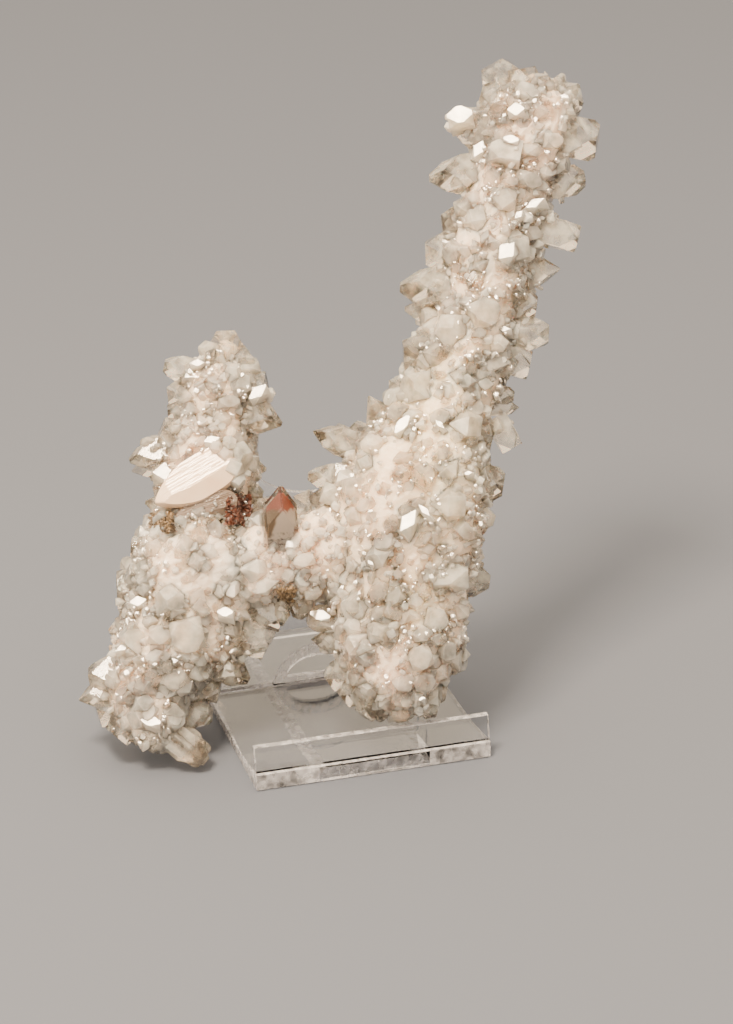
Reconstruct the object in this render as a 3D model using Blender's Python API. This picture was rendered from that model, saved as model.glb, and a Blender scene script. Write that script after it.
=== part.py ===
"""An apophyllite specimen, two crystal-covered stalactites grown together, leaning on a clear easel.

Numbers are millimetres, and MM turns them into metres where a mesh is made. The specimen is modelled upright in
its own frame (x to the right, y away from the viewer, z up along the specimen) and an empty then leans it back
against the easel. The origin is under the middle of the easel's front lip, on the surface that it stands on.
"""

import math

import bmesh
import bpy
import numpy as np
from mathutils import Matrix, Vector

MM = 0.001

# Driving dimensions
STAND_WIDTH = 70.0
BASE_DEPTH = 92.0
BASE_FRONT_HEIGHT = 4.9
BASE_MIDDLE_Y = 16.0
BASE_MIDDLE_HEIGHT = 2.8
BASE_REAR_HEIGHT = 2.0
CHANNEL_FLOOR_HALF = 17.7
CHANNEL_ROOF_HALF = 14.0
LIP_HEIGHT = 12.4
LIP_THICKNESS = 2.0
LIP_LEAN_BACK = 2.5
BACK_FOOT_Y = 56.8
BACK_FOOT_Z = 1.4
BACK_TOP_Z = 73.0
BACK_LEAN = math.radians(5.5)
BACK_THICKNESS = 2.0
BACK_HALF_WIDTH = 33.0
DIP_RADIUS = 24.5
DIP_LOWEST_Z = 61.6
SPECIMEN_LEAN = math.radians(24.5)
SPECIMEN_TURN = math.radians(-16.8)
SPECIMEN_PLACE = (1.98, 6.75, 0.0)
GAP = 0.3
SOCKET_GAP = 0.42
PYRAMID_SLOPE = 1.25
WIDEST_CUT = 1.35
GOLDEN_TURN = math.pi * (3 - math.sqrt(5))

# Growth of the two stalactites: x, depth, z and radius of the core under its crystals, from the foot up
LEFT_STATIONS = (
    (-57.0, -5.5, 7.5, 4.0),
    (-61.5, -5.0, 11.5, 8.0),
    (-64.0, -2.0, 19.5, 12.5),
    (-60.5, 0.0, 29.5, 14.5),
    (-54.5, 0.0, 40.5, 17.0),
    (-51.5, 0.0, 52.0, 17.0),
    (-50.5, 0.0, 63.5, 15.5),
    (-49.0, 0.0, 75.0, 11.5),
    (-47.5, 0.0, 86.5, 12.0),
    (-46.0, 0.0, 98.0, 9.5),
    (-44.5, 0.0, 109.5, 9.0),
    (-43.0, 0.0, 118.0, 5.0),
)
RIGHT_STATIONS = (
    (8.0, -6.5, 15.0, 5.0),
    (7.5, -4.5, 20.5, 11.0),
    (6.5, -1.5, 32.0, 16.5),
    (7.0, 0.0, 43.5, 18.0),
    (7.5, 0.0, 58.0, 19.5),
    (10.5, 0.0, 72.5, 20.5),
    (15.0, 0.0, 86.5, 19.0),
    (19.0, 0.0, 98.5, 14.0),
    (23.5, 0.0, 110.0, 12.0),
    (27.0, 0.0, 121.5, 12.5),
    (30.5, 0.0, 133.0, 11.0),
    (33.5, 0.0, 144.5, 11.5),
    (36.5, 0.0, 156.0, 11.0),
    (39.5, 0.0, 167.5, 11.5),
    (43.0, 0.0, 179.0, 11.5),
    (45.5, 0.0, 190.5, 10.5),
    (45.5, 0.0, 194.5, 5.5),
)
BRIDGE_STATIONS = (
    (-50.0, 0.0, 57.5, 12.0),
    (-37.0, 0.0, 57.5, 13.0),
    (-24.0, 0.5, 58.5, 12.0),
    (-11.0, 0.5, 60.5, 13.5),
    (4.0, 0.0, 60.5, 13.0),
)
FORK_X = -24.0
FORK_Z = 58.0
FORK_TILT = math.radians(6.0)

# Crystals that draw the outline: tip, root, half width, how far the point is cut back (0 to 1), twist in degrees
RIGHT_CRYSTALS = (
    ((35.0, 2.0, 201.0), (40.5, 0.5, 189.5), 4.6, 0.8, 20),
    ((42.5, -2.0, 199.5), (44.5, -0.5, 189.5), 4.2, 0.8, 40),
    ((49.5, 1.0, 199.0), (50.5, 0.5, 190.0), 2.3, 0.0, 15),
    ((54.5, -3.0, 198.0), (51.0, -1.0, 189.0), 2.6, 0.2, 30),
    ((59.5, 2.0, 191.0), (52.5, 0.5, 190.5), 4.8, 0.7, 25),
    ((64.5, -2.0, 178.5), (52.5, -0.5, 180.5), 6.0, 0.6, 15),
    ((61.0, 1.0, 168.0), (51.0, 0.5, 167.0), 4.5, 0.4, 20),
    ((59.0, 0.0, 150.5), (47.5, 0.0, 153.5), 4.0, 0.7, 10),
    ((54.0, 2.0, 142.0), (44.0, 0.5, 141.0), 4.0, 0.0, 35),
    ((47.0, 0.0, 131.0), (39.5, 0.0, 132.0), 3.8, 0.6, 20),
    ((50.5, -1.0, 123.0), (40.0, -0.5, 123.5), 3.8, 0.6, 45),
    ((45.0, 0.0, 114.0), (36.5, 0.0, 116.0), 4.2, 0.8, 10),
    ((40.5, -1.0, 105.0), (33.5, -0.5, 106.0), 2.6, 0.4, 10),
    ((42.0, 2.0, 102.0), (33.0, 0.5, 101.5), 1.8, 0.0, 20),
    ((40.0, 0.0, 90.0), (35.0, 0.0, 99.0), 3.2, 0.9, 10),
    ((37.5, -1.0, 79.5), (28.0, -0.5, 81.0), 5.0, 0.5, 10),
    ((34.5, 1.0, 75.0), (27.0, 0.5, 75.0), 2.3, 0.2, 10),
    ((31.0, -2.0, 71.5), (24.0, -0.5, 72.5), 2.3, 0.3, 30),
    ((31.0, 0.0, 61.0), (24.0, 0.0, 63.5), 2.6, 0.0, 5),
    ((33.5, 0.0, 51.5), (22.0, 0.0, 53.0), 5.0, 0.3, 20),
    ((27.0, 1.0, 44.5), (19.0, 0.5, 45.0), 4.8, 0.7, 25),
    ((27.0, 0.0, 36.0), (20.0, 0.0, 36.5), 2.6, 0.3, 10),
    ((23.5, -1.0, 28.0), (16.0, -0.5, 31.0), 3.6, 0.5, 20),
    ((21.0, -1.0, 19.5), (13.0, -1.0, 21.0), 3.6, 0.5, 10),
    ((16.5, -6.0, 13.0), (14.5, -3.0, 21.0), 2.8, 0.6, 25),
    ((7.5, -8.0, 12.0), (7.5, -4.0, 20.5), 2.8, 0.6, 30),
    ((1.5, -4.5, 11.5), (4.0, -2.0, 19.0), 2.2, 0.3, 20),
    ((-3.0, -3.0, 13.0), (2.0, -1.5, 20.0), 3.2, 0.8, 10),
    ((-9.0, -1.0, 17.5), (-2.0, 0.0, 23.0), 3.2, 0.8, 25),
    ((-13.0, 1.0, 22.5), (-5.0, 0.5, 28.0), 3.4, 0.8, 10),
    ((-18.0, -2.0, 35.0), (-9.0, -0.5, 34.0), 2.6, 0.0, 10),
    ((-18.5, -4.0, 41.5), (-9.5, -1.0, 40.0), 3.2, 0.8, 15),
    ((-22.0, -3.0, 41.0), (-19.0, -1.0, 51.0), 3.6, 0.3, 70),
    ((-17.5, -1.0, 95.0), (-4.0, -0.5, 90.0), 3.4, 0.0, 10),
    ((-19.0, -2.0, 82.0), (-8.0, -0.5, 81.0), 3.2, 0.3, 20),
    ((-17.0, -1.0, 77.5), (-10.0, 0.0, 68.0), 3.8, 0.5, 15),
    ((-21.0, 1.0, 77.0), (-15.0, 0.0, 64.0), 3.7, 0.7, 40),
    ((-1.5, -4.0, 105.0), (5.0, -1.0, 93.0), 4.9, 0.0, 10),
    ((-6.0, 1.0, 97.0), (0.0, 0.5, 91.0), 2.6, 0.5, 10),
    ((-11.0, 2.0, 96.5), (-4.0, 0.5, 88.0), 3.0, 0.4, 40),
    ((4.5, 1.0, 106.5), (16.0, 0.5, 106.5), 4.9, 0.7, 30),
    ((8.5, -1.0, 117.0), (18.5, -0.5, 117.5), 4.8, 0.7, 15),
    ((9.0, 1.0, 130.5), (21.0, 0.5, 129.5), 3.4, 0.2, 25),
    ((7.5, -1.0, 136.5), (22.0, -0.5, 136.0), 5.5, 0.2, 10),
    ((15.0, 1.0, 146.5), (25.5, 0.5, 147.0), 4.4, 0.7, 20),
    ((19.5, -1.0, 155.0), (28.5, -0.5, 156.0), 4.0, 0.6, 35),
    ((16.0, -1.0, 168.0), (30.0, -0.5, 169.5), 4.6, 0.2, 10),
    ((22.0, -3.0, 184.5), (34.5, -1.0, 181.0), 5.8, 0.3, 15),
    ((31.5, 2.0, 192.5), (38.5, 0.5, 190.5), 3.8, 0.8, 30),
)
LEFT_CRYSTALS = (
    ((-43.0, -1.0, 124.0), (-42.5, -0.5, 114.0), 4.5, 0.6, 20),
    ((-35.0, 0.0, 116.5), (-41.5, 0.0, 112.0), 4.2, 0.8, 30),
    ((-49.0, 2.0, 118.0), (-44.0, 0.5, 112.0), 3.2, 0.6, 10),
    ((-60.5, -1.0, 114.0), (-49.5, -0.5, 111.5), 3.0, 0.5, 15),
    ((-59.5, 0.0, 105.5), (-51.0, 0.0, 106.5), 3.0, 0.8, 30),
    ((-59.5, -1.0, 100.5), (-51.0, -0.5, 101.0), 2.7, 0.6, 5),
    ((-31.0, -2.0, 108.0), (-41.0, -0.5, 107.5), 4.2, 0.8, 10),
    ((-26.5, -1.0, 97.0), (-38.5, -0.5, 101.0), 4.6, 0.1, 10),
    ((-61.5, -2.0, 95.0), (-53.5, -0.5, 92.0), 4.2, 0.9, 20),
    ((-70.5, -1.0, 86.5), (-56.5, -0.5, 90.5), 3.2, 0.2, 10),
    ((-70.0, 2.0, 83.5), (-57.0, 0.5, 86.5), 2.8, 0.1, 30),
    ((-63.5, 0.0, 77.5), (-55.0, 0.0, 79.5), 3.0, 0.6, 20),
    ((-66.0, 0.0, 74.5), (-56.0, 0.0, 73.0), 2.3, 0.2, 20),
    ((-31.0, -2.0, 84.0), (-40.0, -0.5, 85.0), 3.6, 0.1, 10),
    ((-33.5, -1.0, 91.0), (-41.5, -0.5, 91.5), 3.2, 0.6, 50),
    ((-32.0, 0.0, 76.5), (-41.0, 0.0, 78.5), 3.4, 0.3, 20),
    ((-30.5, -1.0, 76.0), (-30.0, 0.0, 66.0), 4.4, 0.7, 20),
    ((-70.0, 0.0, 61.0), (-61.5, 0.0, 60.5), 3.8, 0.8, 15),
    ((-74.0, -1.0, 49.0), (-64.0, -0.5, 49.5), 5.5, 0.9, 10),
    ((-73.0, 1.0, 40.5), (-64.5, 0.5, 39.5), 4.6, 0.9, 20),
    ((-82.0, 0.0, 23.0), (-72.0, 0.0, 24.5), 5.2, 0.6, 15),
    ((-85.0, -1.0, 17.5), (-72.5, -0.5, 21.0), 3.2, 0.1, 10),
    ((-79.5, -2.0, 13.0), (-70.5, -0.5, 16.0), 4.0, 0.8, 30),
    ((-74.0, -5.0, 7.0), (-68.5, -4.0, 14.0), 3.8, 0.9, 10),
    ((-66.0, -7.0, 5.0), (-63.5, -4.0, 12.0), 3.8, 0.8, 30),
    ((-48.5, -6.5, 1.0), (-58.5, -6.0, 8.5), 4.0, 0.6, 10),
    ((-48.0, -6.5, 0.0), (-57.0, -6.0, 7.5), 3.7, 0.4, 50),
    ((-47.0, -4.0, 14.5), (-56.5, -2.0, 13.0), 3.9, 0.6, 20),
    ((-44.5, -1.0, 20.0), (-53.5, -0.5, 22.0), 3.6, 0.8, 10),
    ((-36.0, -2.0, 23.0), (-46.5, -0.5, 29.0), 4.2, 0.2, 15),
    ((-30.0, -1.0, 33.5), (-40.0, -0.5, 39.0), 5.0, 0.9, 25),
    ((-26.5, 0.0, 41.5), (-38.0, 0.0, 44.0), 4.6, 0.8, 10),
    ((-26.5, -6.0, 39.0), (-26.0, -4.0, 47.5), 1.6, 0.3, 30),
)

# Large flat-topped crystals on the front, whose tops all look one way: x, z, half width, cut, twist in degrees
RIGHT_FACETS = (
    (30.5, 175.0, 2.6, 0.55, 5),
    (42.0, 155.5, 2.6, 0.60, 30),
    (47.0, 159.0, 3.4, 0.70, 70),
    (38.5, 145.0, 4.4, 0.85, 25),
    (39.5, 185.0, 3.2, 0.90, 15),
    (39.0, 177.0, 2.4, 0.90, 40),
    (10.0, 68.0, 4.2, 0.85, 10),
    (15.5, 71.0, 3.0, 0.60, 60),
    (-0.5, 57.0, 2.6, 0.60, 50),
    (8.5, 95.5, 4.0, 0.80, 20),
    (30.5, 89.0, 3.0, 0.80, 35),
    (27.0, 82.0, 2.6, 0.50, 20),
    (-15.0, 40.5, 3.4, 0.90, 0),
    (35.0, 122.0, 3.0, 0.80, 35),
    (13.5, 17.5, 3.0, 0.85, 10),
)
LEFT_FACETS = (
    (-49.0, 113.0, 3.6, 0.90, 15),
    (-37.0, 104.0, 3.4, 0.80, 30),
    (-47.0, 91.5, 2.8, 0.85, 10),
    (-72.0, 32.5, 3.2, 0.70, 50),
    (-56.0, 30.0, 3.2, 0.60, 20),
    (-63.5, 11.5, 4.0, 0.90, 5),
    (-67.0, 45.0, 4.4, 0.85, 30),
    (-42.0, 42.0, 4.6, 0.90, 15),
)
FACET_AIM = (-0.12, -0.93, 0.35)

CORE_SIDES = 13
CORE_RINGS_PER_STATION = 1
CORE_JITTER = 0.07
CORE_LUMPS = 0.07
OUTLINE_SHARE = 0.88
LEFT_SEED = 3
RIGHT_SEED = 7
BRIDGE_SEED = 5


def material(name, colour, roughness, transmission=0.0, ior=1.5):
    """A plain Principled material."""
    made = bpy.data.materials.new(name)
    made.use_nodes = True
    shader = made.node_tree.nodes["Principled BSDF"]
    shader.inputs["Base Color"].default_value = (*colour, 1.0)
    shader.inputs["Roughness"].default_value = roughness
    shader.inputs["Transmission Weight"].default_value = transmission
    shader.inputs["IOR"].default_value = ior
    return made


def object_from(name, bm, finish, collection):
    """The bmesh, in millimetres, as an object in metres."""
    bmesh.ops.scale(bm, vec=(MM, MM, MM), verts=bm.verts)
    bmesh.ops.recalc_face_normals(bm, faces=bm.faces)
    mesh = bpy.data.meshes.new(name)
    bm.to_mesh(mesh)
    bm.free()
    if finish:
        mesh.materials.append(finish)
    made = bpy.data.objects.new(name, mesh)
    collection.objects.link(made)
    return made


def as_cutter(made):
    """Keeps a helper out of the render and draws it as a wire."""
    made.hide_render = True
    made.display_type = "WIRE"
    return made


def boolean(target, operation, other, own_parts=False):
    """A Boolean modifier with the exact solver; own_parts also joins the target's own overlapping shells."""
    modifier = target.modifiers.new(operation.title() + " " + (other.name if other else "self"), "BOOLEAN")
    modifier.operation = operation
    modifier.solver = "EXACT"
    modifier.use_self = own_parts
    modifier.object = other
    return modifier


def unit(vector):
    """The vector at length one."""
    vector = np.asarray(vector, float)
    return vector / np.linalg.norm(vector)


def smooth_path(stations, share):
    """A Catmull-Rom curve through the stations at a share from 0 to 1 of their number: x, depth, z and radius."""
    stations = np.asarray(stations, float)
    padded = np.vstack([2 * stations[0] - stations[1], stations, 2 * stations[-1] - stations[-2]])
    place = np.clip(share, 0, 1) * (len(stations) - 1)
    span = int(min(math.floor(place), len(stations) - 2))
    t = place - span
    p0, p1, p2, p3 = padded[span : span + 4]
    return 0.5 * (
        2 * p1
        + (p2 - p0) * t
        + (2 * p0 - 5 * p1 + 4 * p2 - p3) * t**2
        + (3 * p1 - p0 - 3 * p2 + p3) * t**3
    )


def section_frame(stations, share):
    """Centre, radius, direction of growth, and the two directions across it: sideways and towards the viewer."""
    step = 0.02
    here = smooth_path(stations, share)
    ahead = smooth_path(stations, share + step)[:3] - smooth_path(stations, share - step)[:3]
    growth = unit(ahead)
    front = unit(np.array([0.0, -1.0, 0.0]) - growth * np.dot(growth, [0.0, -1.0, 0.0]))
    side = np.cross(front, growth)
    return here[:3], here[3], growth, side, front


def lumps(share, angle, seed):
    """A smooth factor near one that varies around and along a core."""
    phase = np.random.default_rng(seed).uniform(0, 2 * math.pi, 4)
    wave = math.sin(3 * angle + 9 * share + phase[0]) + math.sin(2 * angle - 17 * share + phase[1])
    wave += math.sin(31 * share + phase[2]) + math.sin(5 * angle + 23 * share + phase[3])
    return 1 + CORE_LUMPS * wave / 2


def add_core(bm, stations, seed):
    """Lofts a lumpy, closed tube through the stations, with a pole at each end."""
    count = CORE_RINGS_PER_STATION * (len(stations) - 1) + 1
    chance = np.random.default_rng(seed)
    rings = []
    for row in range(count):
        share = row / (count - 1)
        centre, radius, _, side, front = section_frame(stations, share)
        ring = []
        for column in range(CORE_SIDES):
            angle = 2 * math.pi * column / CORE_SIDES
            reach = radius * lumps(share, angle, seed) * (1 + CORE_JITTER * chance.uniform(-1, 1))
            ring.append(bm.verts.new(centre + reach * (math.cos(angle) * side + math.sin(angle) * front)))
        rings.append(ring)
    for lower, upper in zip(rings, rings[1:]):
        for column in range(CORE_SIDES):
            after = (column + 1) % CORE_SIDES
            bm.faces.new((lower[column], lower[after], upper[after], upper[column]))
    for ring, share, way in ((rings[0], 0.0, -1), (rings[-1], 1.0, 1)):
        centre, radius, growth, _, _ = section_frame(stations, share)
        pole = bm.verts.new(centre + way * 0.5 * radius * growth)
        for column in range(CORE_SIDES):
            bm.faces.new((ring[column], ring[(column + 1) % CORE_SIDES], pole))


def crystal_corners(tip, root, half_width, cut, twist, grow=0.0):
    """Corners of a square prism that ends in a four-sided pyramid turned 45 degrees to it; cut takes the point off.

    The pyramid is |x| + |y| = top + drop / slope, where top is the half diagonal of the flat end.
    """
    axis = unit(np.subtract(tip, root))
    tip = np.add(tip, axis * grow)
    root = np.subtract(root, axis * grow)
    half_width = half_width + grow
    length = float(np.linalg.norm(tip - root))
    top = cut * WIDEST_CUT * half_width
    shoulder = length - (2 * half_width - top) * PYRAMID_SLOPE
    points = [(x, y, 0.0) for x in (-half_width, half_width) for y in (-half_width, half_width)]
    points += [(x, y, shoulder) for x in (-half_width, half_width) for y in (-half_width, half_width)]
    if top < half_width:
        rise = length - (half_width - top) * PYRAMID_SLOPE
        points += [(half_width, 0, rise), (-half_width, 0, rise), (0, half_width, rise), (0, -half_width, rise)]
        points += [(top, 0, length), (-top, 0, length), (0, top, length), (0, -top, length)]
    else:
        rest = top - half_width
        points += [(x, y, length) for x in (-half_width, half_width) for y in (-rest, rest)]
        points += [(x, y, length) for x in (-rest, rest) for y in (-half_width, half_width)]
    points = [point for point in points if point[2] >= 0]
    points = sorted({tuple(round(value, 4) for value in point) for point in points})
    sideways = unit(np.cross(axis, (0.31, 0.17, 0.93)))
    turn = math.radians(twist)
    across = math.cos(turn) * sideways + math.sin(turn) * np.cross(axis, sideways)
    return root + np.array(points) @ np.array([across, np.cross(axis, across), axis])


def add_crystal(bm, *crystal):
    """Adds a crystal as its own closed shell."""
    bmesh.ops.convex_hull(bm, input=[bm.verts.new(corner) for corner in crystal_corners(*crystal)])


def scattered_crystals(stations, count, seed, core_seed):
    """Random crystals on a golden-angle spiral over the core, pointing outwards with a random tilt."""
    chance = np.random.default_rng(seed)
    widths = np.array([smooth_path(stations, share)[3] for share in np.linspace(0, 1, 200)])
    area = np.cumsum(widths) / widths.sum()
    found = []
    for index in range(count):
        share = float(np.interp((index + chance.uniform(0.2, 0.8)) / count, area, np.linspace(0, 1, 200)))
        angle = index * GOLDEN_TURN + chance.uniform(-0.25, 0.25)
        hidden = math.sin(angle) < 0 and index % 2
        if hidden or abs(math.cos(angle)) > OUTLINE_SHARE:
            continue
        centre, radius, growth, side, front = section_frame(stations, share)
        radial = math.cos(angle) * side + math.sin(angle) * front
        reach = radius * lumps(share, angle, core_seed)
        ends = (2 * share - 1) ** 5
        aim = unit(radial + 0.9 * ends * growth + chance.normal(0, 0.3, 3))
        half_width = float(chance.uniform(2.0, 4.6))
        proud = half_width * float(chance.uniform(0.75, 1.25)) * (1 - 0.4 * math.cos(angle) ** 2)
        cut = float(chance.choice([0.0, 0.25, 0.5, 0.7, 0.85, 0.95]))
        twist = float(chance.uniform(0, 90))
        seat = centre + reach * radial
        found.append((seat + aim * proud, seat - aim * (half_width + 2.5), half_width, cut, twist))
    return found


def facet_crystals(stations, facets):
    """Flat-topped crystals that sit on the core's front at a given x and z and look along FACET_AIM."""
    aim = unit(FACET_AIM)
    shares = np.linspace(0, 1, 200)
    path = np.array([smooth_path(stations, share) for share in shares])
    found = []
    for x, z, half_width, cut, twist in facets:
        nearest = int(np.argmin(np.hypot(path[:, 0] - x, path[:, 2] - z)))
        offset = math.hypot(path[nearest, 0] - x, path[nearest, 2] - z)
        radius = path[nearest, 3]
        depth = path[nearest, 1] - math.sqrt(max(radius**2 - offset**2, 4.0))
        seat = np.array([x, depth, z])
        found.append((seat + aim * 2.6, seat - aim * 6.0, half_width, cut, twist))
    return found


def cloud(name, crystals, collection):
    """One helper mesh that holds each crystal as its own closed shell."""
    bm = bmesh.new()
    for crystal in crystals:
        add_crystal(bm, *crystal)
    return as_cutter(object_from(name, bm, None, collection))


def half_space(name, way, collection):
    """A block that holds everything past the fork on one side, so that the two stalactites part there."""
    size = 260.0
    bm = bmesh.new()
    bmesh.ops.create_cube(bm, size=size)
    centre = Vector((FORK_X, 0.0, FORK_Z))
    lean = Matrix.Rotation(FORK_TILT, 4, "Y")
    shift = Matrix.Translation((way * (size / 2 - GAP / 2), 0, 0))
    bmesh.ops.transform(bm, matrix=Matrix.Translation(centre) @ lean @ shift, verts=bm.verts)
    return as_cutter(object_from(name, bm, None, collection))


def coffin(name, grow, finish, collection):
    """The heulandite blade: a long six-sided tablet with sloping rims, worked as the hull of three outlines."""
    length, width, thickness = 26.0 + 2 * grow, 13.0 + 2 * grow, 8.0 + 2 * grow
    outline = ((-0.5, 0.1), (-0.3, 0.5), (0.32, 0.5), (0.5, 0.12), (0.38, -0.5), (-0.34, -0.5))
    bm = bmesh.new()
    verts = []
    for height, inset in ((-0.5, 0.72), (0.0, 1.0), (0.5, 0.8)):
        for x, y in outline:
            verts.append(bm.verts.new((x * length * inset, y * width * inset, height * thickness)))
    bmesh.ops.convex_hull(bm, input=verts)
    long_way = unit((0.80, -0.10, 0.47))
    face_way = unit((-0.22, -0.90, 0.36))
    cross_way = unit(np.cross(face_way, long_way))
    face_way = np.cross(long_way, cross_way)
    turn = Matrix((long_way, cross_way, face_way)).transposed().to_4x4()
    bmesh.ops.transform(bm, matrix=Matrix.Translation((-51.0, -12.5, 80.5)) @ turn, verts=bm.verts)
    return object_from(name, bm, finish, collection)


def stained(name, grow, finish, collection):
    """The rust-tipped crystal that stands in front of the fork."""
    bm = bmesh.new()
    add_crystal(bm, (-26.5, -12.5, 79.0), (-27.5, -7.0, 60.0), 4.8, 0.1, 42, grow)
    return object_from(name, bm, finish, collection)


def flat_plate(name, loops, thickness, collection):
    """A plate from closed outlines in its own plane, the inner ones as holes, centred on its thickness."""
    curve = bpy.data.curves.new(name, "CURVE")
    curve.dimensions = "2D"
    curve.fill_mode = "BOTH"
    curve.extrude = thickness * MM / 2
    for loop in loops:
        spline = curve.splines.new("POLY")
        spline.points.add(len(loop) - 1)
        for point, (x, y) in zip(spline.points, loop):
            point.co = (x * MM, y * MM, 0.0, 1.0)
        spline.use_cyclic_u = True
    helper = bpy.data.objects.new(name + "_curve", curve)
    bpy.context.scene.collection.objects.link(helper)
    graph = bpy.context.evaluated_depsgraph_get()
    mesh = bpy.data.meshes.new_from_object(helper.evaluated_get(graph))
    bpy.data.objects.remove(helper)
    bpy.data.curves.remove(curve)
    bm = bmesh.new()
    bm.from_mesh(mesh)
    bmesh.ops.remove_doubles(bm, verts=bm.verts, dist=1e-6)
    bmesh.ops.recalc_face_normals(bm, faces=bm.faces)
    bm.to_mesh(mesh)
    bm.free()
    mesh.name = name
    made = bpy.data.objects.new(name, mesh)
    collection.objects.link(made)
    return made


def arc(centre, half_width, height, start, end, steps):
    """Points on an ellipse between two angles in degrees."""
    angles = [math.radians(start + (end - start) * step / steps) for step in range(steps + 1)]
    return [(centre[0] + half_width * math.cos(a), centre[1] + height * math.sin(a)) for a in angles]


def block(name, low, high, collection):
    """A plain box between two corners, in millimetres."""
    bm = bmesh.new()
    bmesh.ops.create_cube(bm, size=1.0)
    size = np.subtract(high, low)
    middle = np.add(high, low) / 2
    bmesh.ops.scale(bm, vec=size, verts=bm.verts)
    bmesh.ops.translate(bm, vec=middle, verts=bm.verts)
    return object_from(name, bm, None, collection)


def hull_of(name, points, collection):
    """The convex hull of some points, in millimetres, as a helper."""
    bm = bmesh.new()
    bmesh.ops.convex_hull(bm, input=[bm.verts.new(point) for point in points])
    return as_cutter(object_from(name, bm, None, collection))


def channel_section(y, roof):
    """The corners of the channel under the base at one depth: a trapezoid, wider at the floor."""
    corners = ((CHANNEL_FLOOR_HALF, 0.0), (CHANNEL_ROOF_HALF, roof))
    return [(side * x, y, z) for side in (-1, 1) for x, z in (*corners, (CHANNEL_FLOOR_HALF, -1.0))]


def build_stand_base(parts, helpers, finish):
    """A clear tray that thins to the rear, with a channel underneath, a slot for the back plate, and a lip."""
    half = STAND_WIDTH / 2
    front = -LIP_THICKNESS / 2
    side_view = (
        (front, 0.0),
        (BASE_DEPTH, 0.0),
        (BASE_DEPTH, BASE_REAR_HEIGHT),
        (BASE_MIDDLE_Y, BASE_MIDDLE_HEIGHT),
        (front + LIP_THICKNESS, BASE_FRONT_HEIGHT),
        (front, BASE_FRONT_HEIGHT),
    )
    lip_view = (
        (front, 0.0),
        (front + LIP_THICKNESS, 0.0),
        (front + LIP_THICKNESS + LIP_LEAN_BACK, LIP_HEIGHT),
        (front + LIP_LEAN_BACK, LIP_HEIGHT),
    )
    base = flat_plate("stand_base", [side_view], STAND_WIDTH, parts)
    base.data.materials.append(finish)
    lip = as_cutter(flat_plate("lip", [lip_view], STAND_WIDTH, helpers))
    for drawn in (base, lip):
        drawn.matrix_world = Matrix(((0, 0, 1, 0), (1, 0, 0, 0), (0, 1, 0, 0), (0, 0, 0, 1)))
    roof_front, roof_middle, roof_rear = 3.4, 1.6, 0.9
    channel_start, channel_end = 1.5, BASE_DEPTH - 3.0
    middle = channel_section(BASE_MIDDLE_Y, roof_middle)
    front_channel = hull_of("front_channel", channel_section(channel_start, roof_front) + middle, helpers)
    rear_channel = hull_of("rear_channel", middle + channel_section(channel_end, roof_rear), helpers)
    slot_half_width = BACK_HALF_WIDTH + GAP
    slot_reach = BACK_THICKNESS / 2 + 2 * GAP
    slot_low = (-slot_half_width, BACK_FOOT_Y - slot_reach, BACK_FOOT_Z - SOCKET_GAP)
    slot_high = (slot_half_width, BACK_FOOT_Y + slot_reach, BASE_FRONT_HEIGHT)
    slot = as_cutter(block("back_slot", slot_low, slot_high, helpers))
    boolean(base, "UNION", lip)
    for cutter in (front_channel, rear_channel, slot):
        boolean(base, "DIFFERENCE", cutter)
    return base


def build_stand_back(parts, helpers, finish):
    """The back plate: a round dip between two prongs, an arched boss round a window, and a tab at its foot."""
    slope = math.cos(BACK_LEAN)
    height = (BACK_TOP_Z - BACK_FOOT_Z) / slope
    dip_centre = (DIP_LOWEST_Z - BACK_FOOT_Z) / slope + DIP_RADIUS
    dip_half = math.sqrt(DIP_RADIUS**2 - (dip_centre - height) ** 2)
    dip_angle = math.degrees(math.atan2(dip_centre - height, dip_half))
    top_half, straight_side, round_end = 27.0, 12.0, 2.5
    outline = [(-BACK_HALF_WIDTH, 0.0), (BACK_HALF_WIDTH, 0.0), (BACK_HALF_WIDTH, straight_side)]
    outline += arc((top_half - round_end, height - round_end), round_end, round_end, 0, 90, 4)
    outline += arc((0.0, dip_centre), DIP_RADIUS, DIP_RADIUS, -dip_angle, dip_angle - 180, 18)
    outline += arc((round_end - top_half, height - round_end), round_end, round_end, 90, 180, 4)
    outline += [(-BACK_HALF_WIDTH, straight_side)]
    sill, window_half, window_rise, boss_half, boss_rise, boss_proud = 3.0, 9.7, 5.9, 14.4, 12.5, 0.9
    boss_foot, boss_sink = 1.6, 0.1
    boss_angle = math.degrees(math.asin(boss_foot / boss_rise))
    back = flat_plate("stand_back", [outline], BACK_THICKNESS, parts)
    back.data.materials.append(finish)
    boss_outline = arc((0.0, 0.0), boss_half, boss_rise, boss_angle, 180 - boss_angle, 18)
    boss = as_cutter(flat_plate("boss", [boss_outline], boss_proud + boss_sink, helpers))
    window_outline = arc((-0.6, sill), window_half, window_rise, 0, 180, 14)
    window = as_cutter(flat_plate("window", [window_outline], 4 * BACK_THICKNESS, helpers))
    stance = Matrix.Translation((0, BACK_FOOT_Y * MM, BACK_FOOT_Z * MM)) @ Matrix.Rotation(
        math.pi / 2 - BACK_LEAN, 4, "X"
    )
    half_thick = BACK_THICKNESS / 2
    tab = as_cutter(block("tab", (-2.4, -0.9, -half_thick), (-0.2, 0.5, half_thick), helpers))
    boss_offset = (BACK_THICKNESS + boss_proud - boss_sink) / 2 * MM
    back.matrix_world = window.matrix_world = tab.matrix_world = stance
    boss.matrix_world = stance @ Matrix.Translation((0, 0, boss_offset))
    boolean(back, "UNION", tab)
    boolean(back, "UNION", boss)
    boolean(back, "DIFFERENCE", window)
    return back


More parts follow.
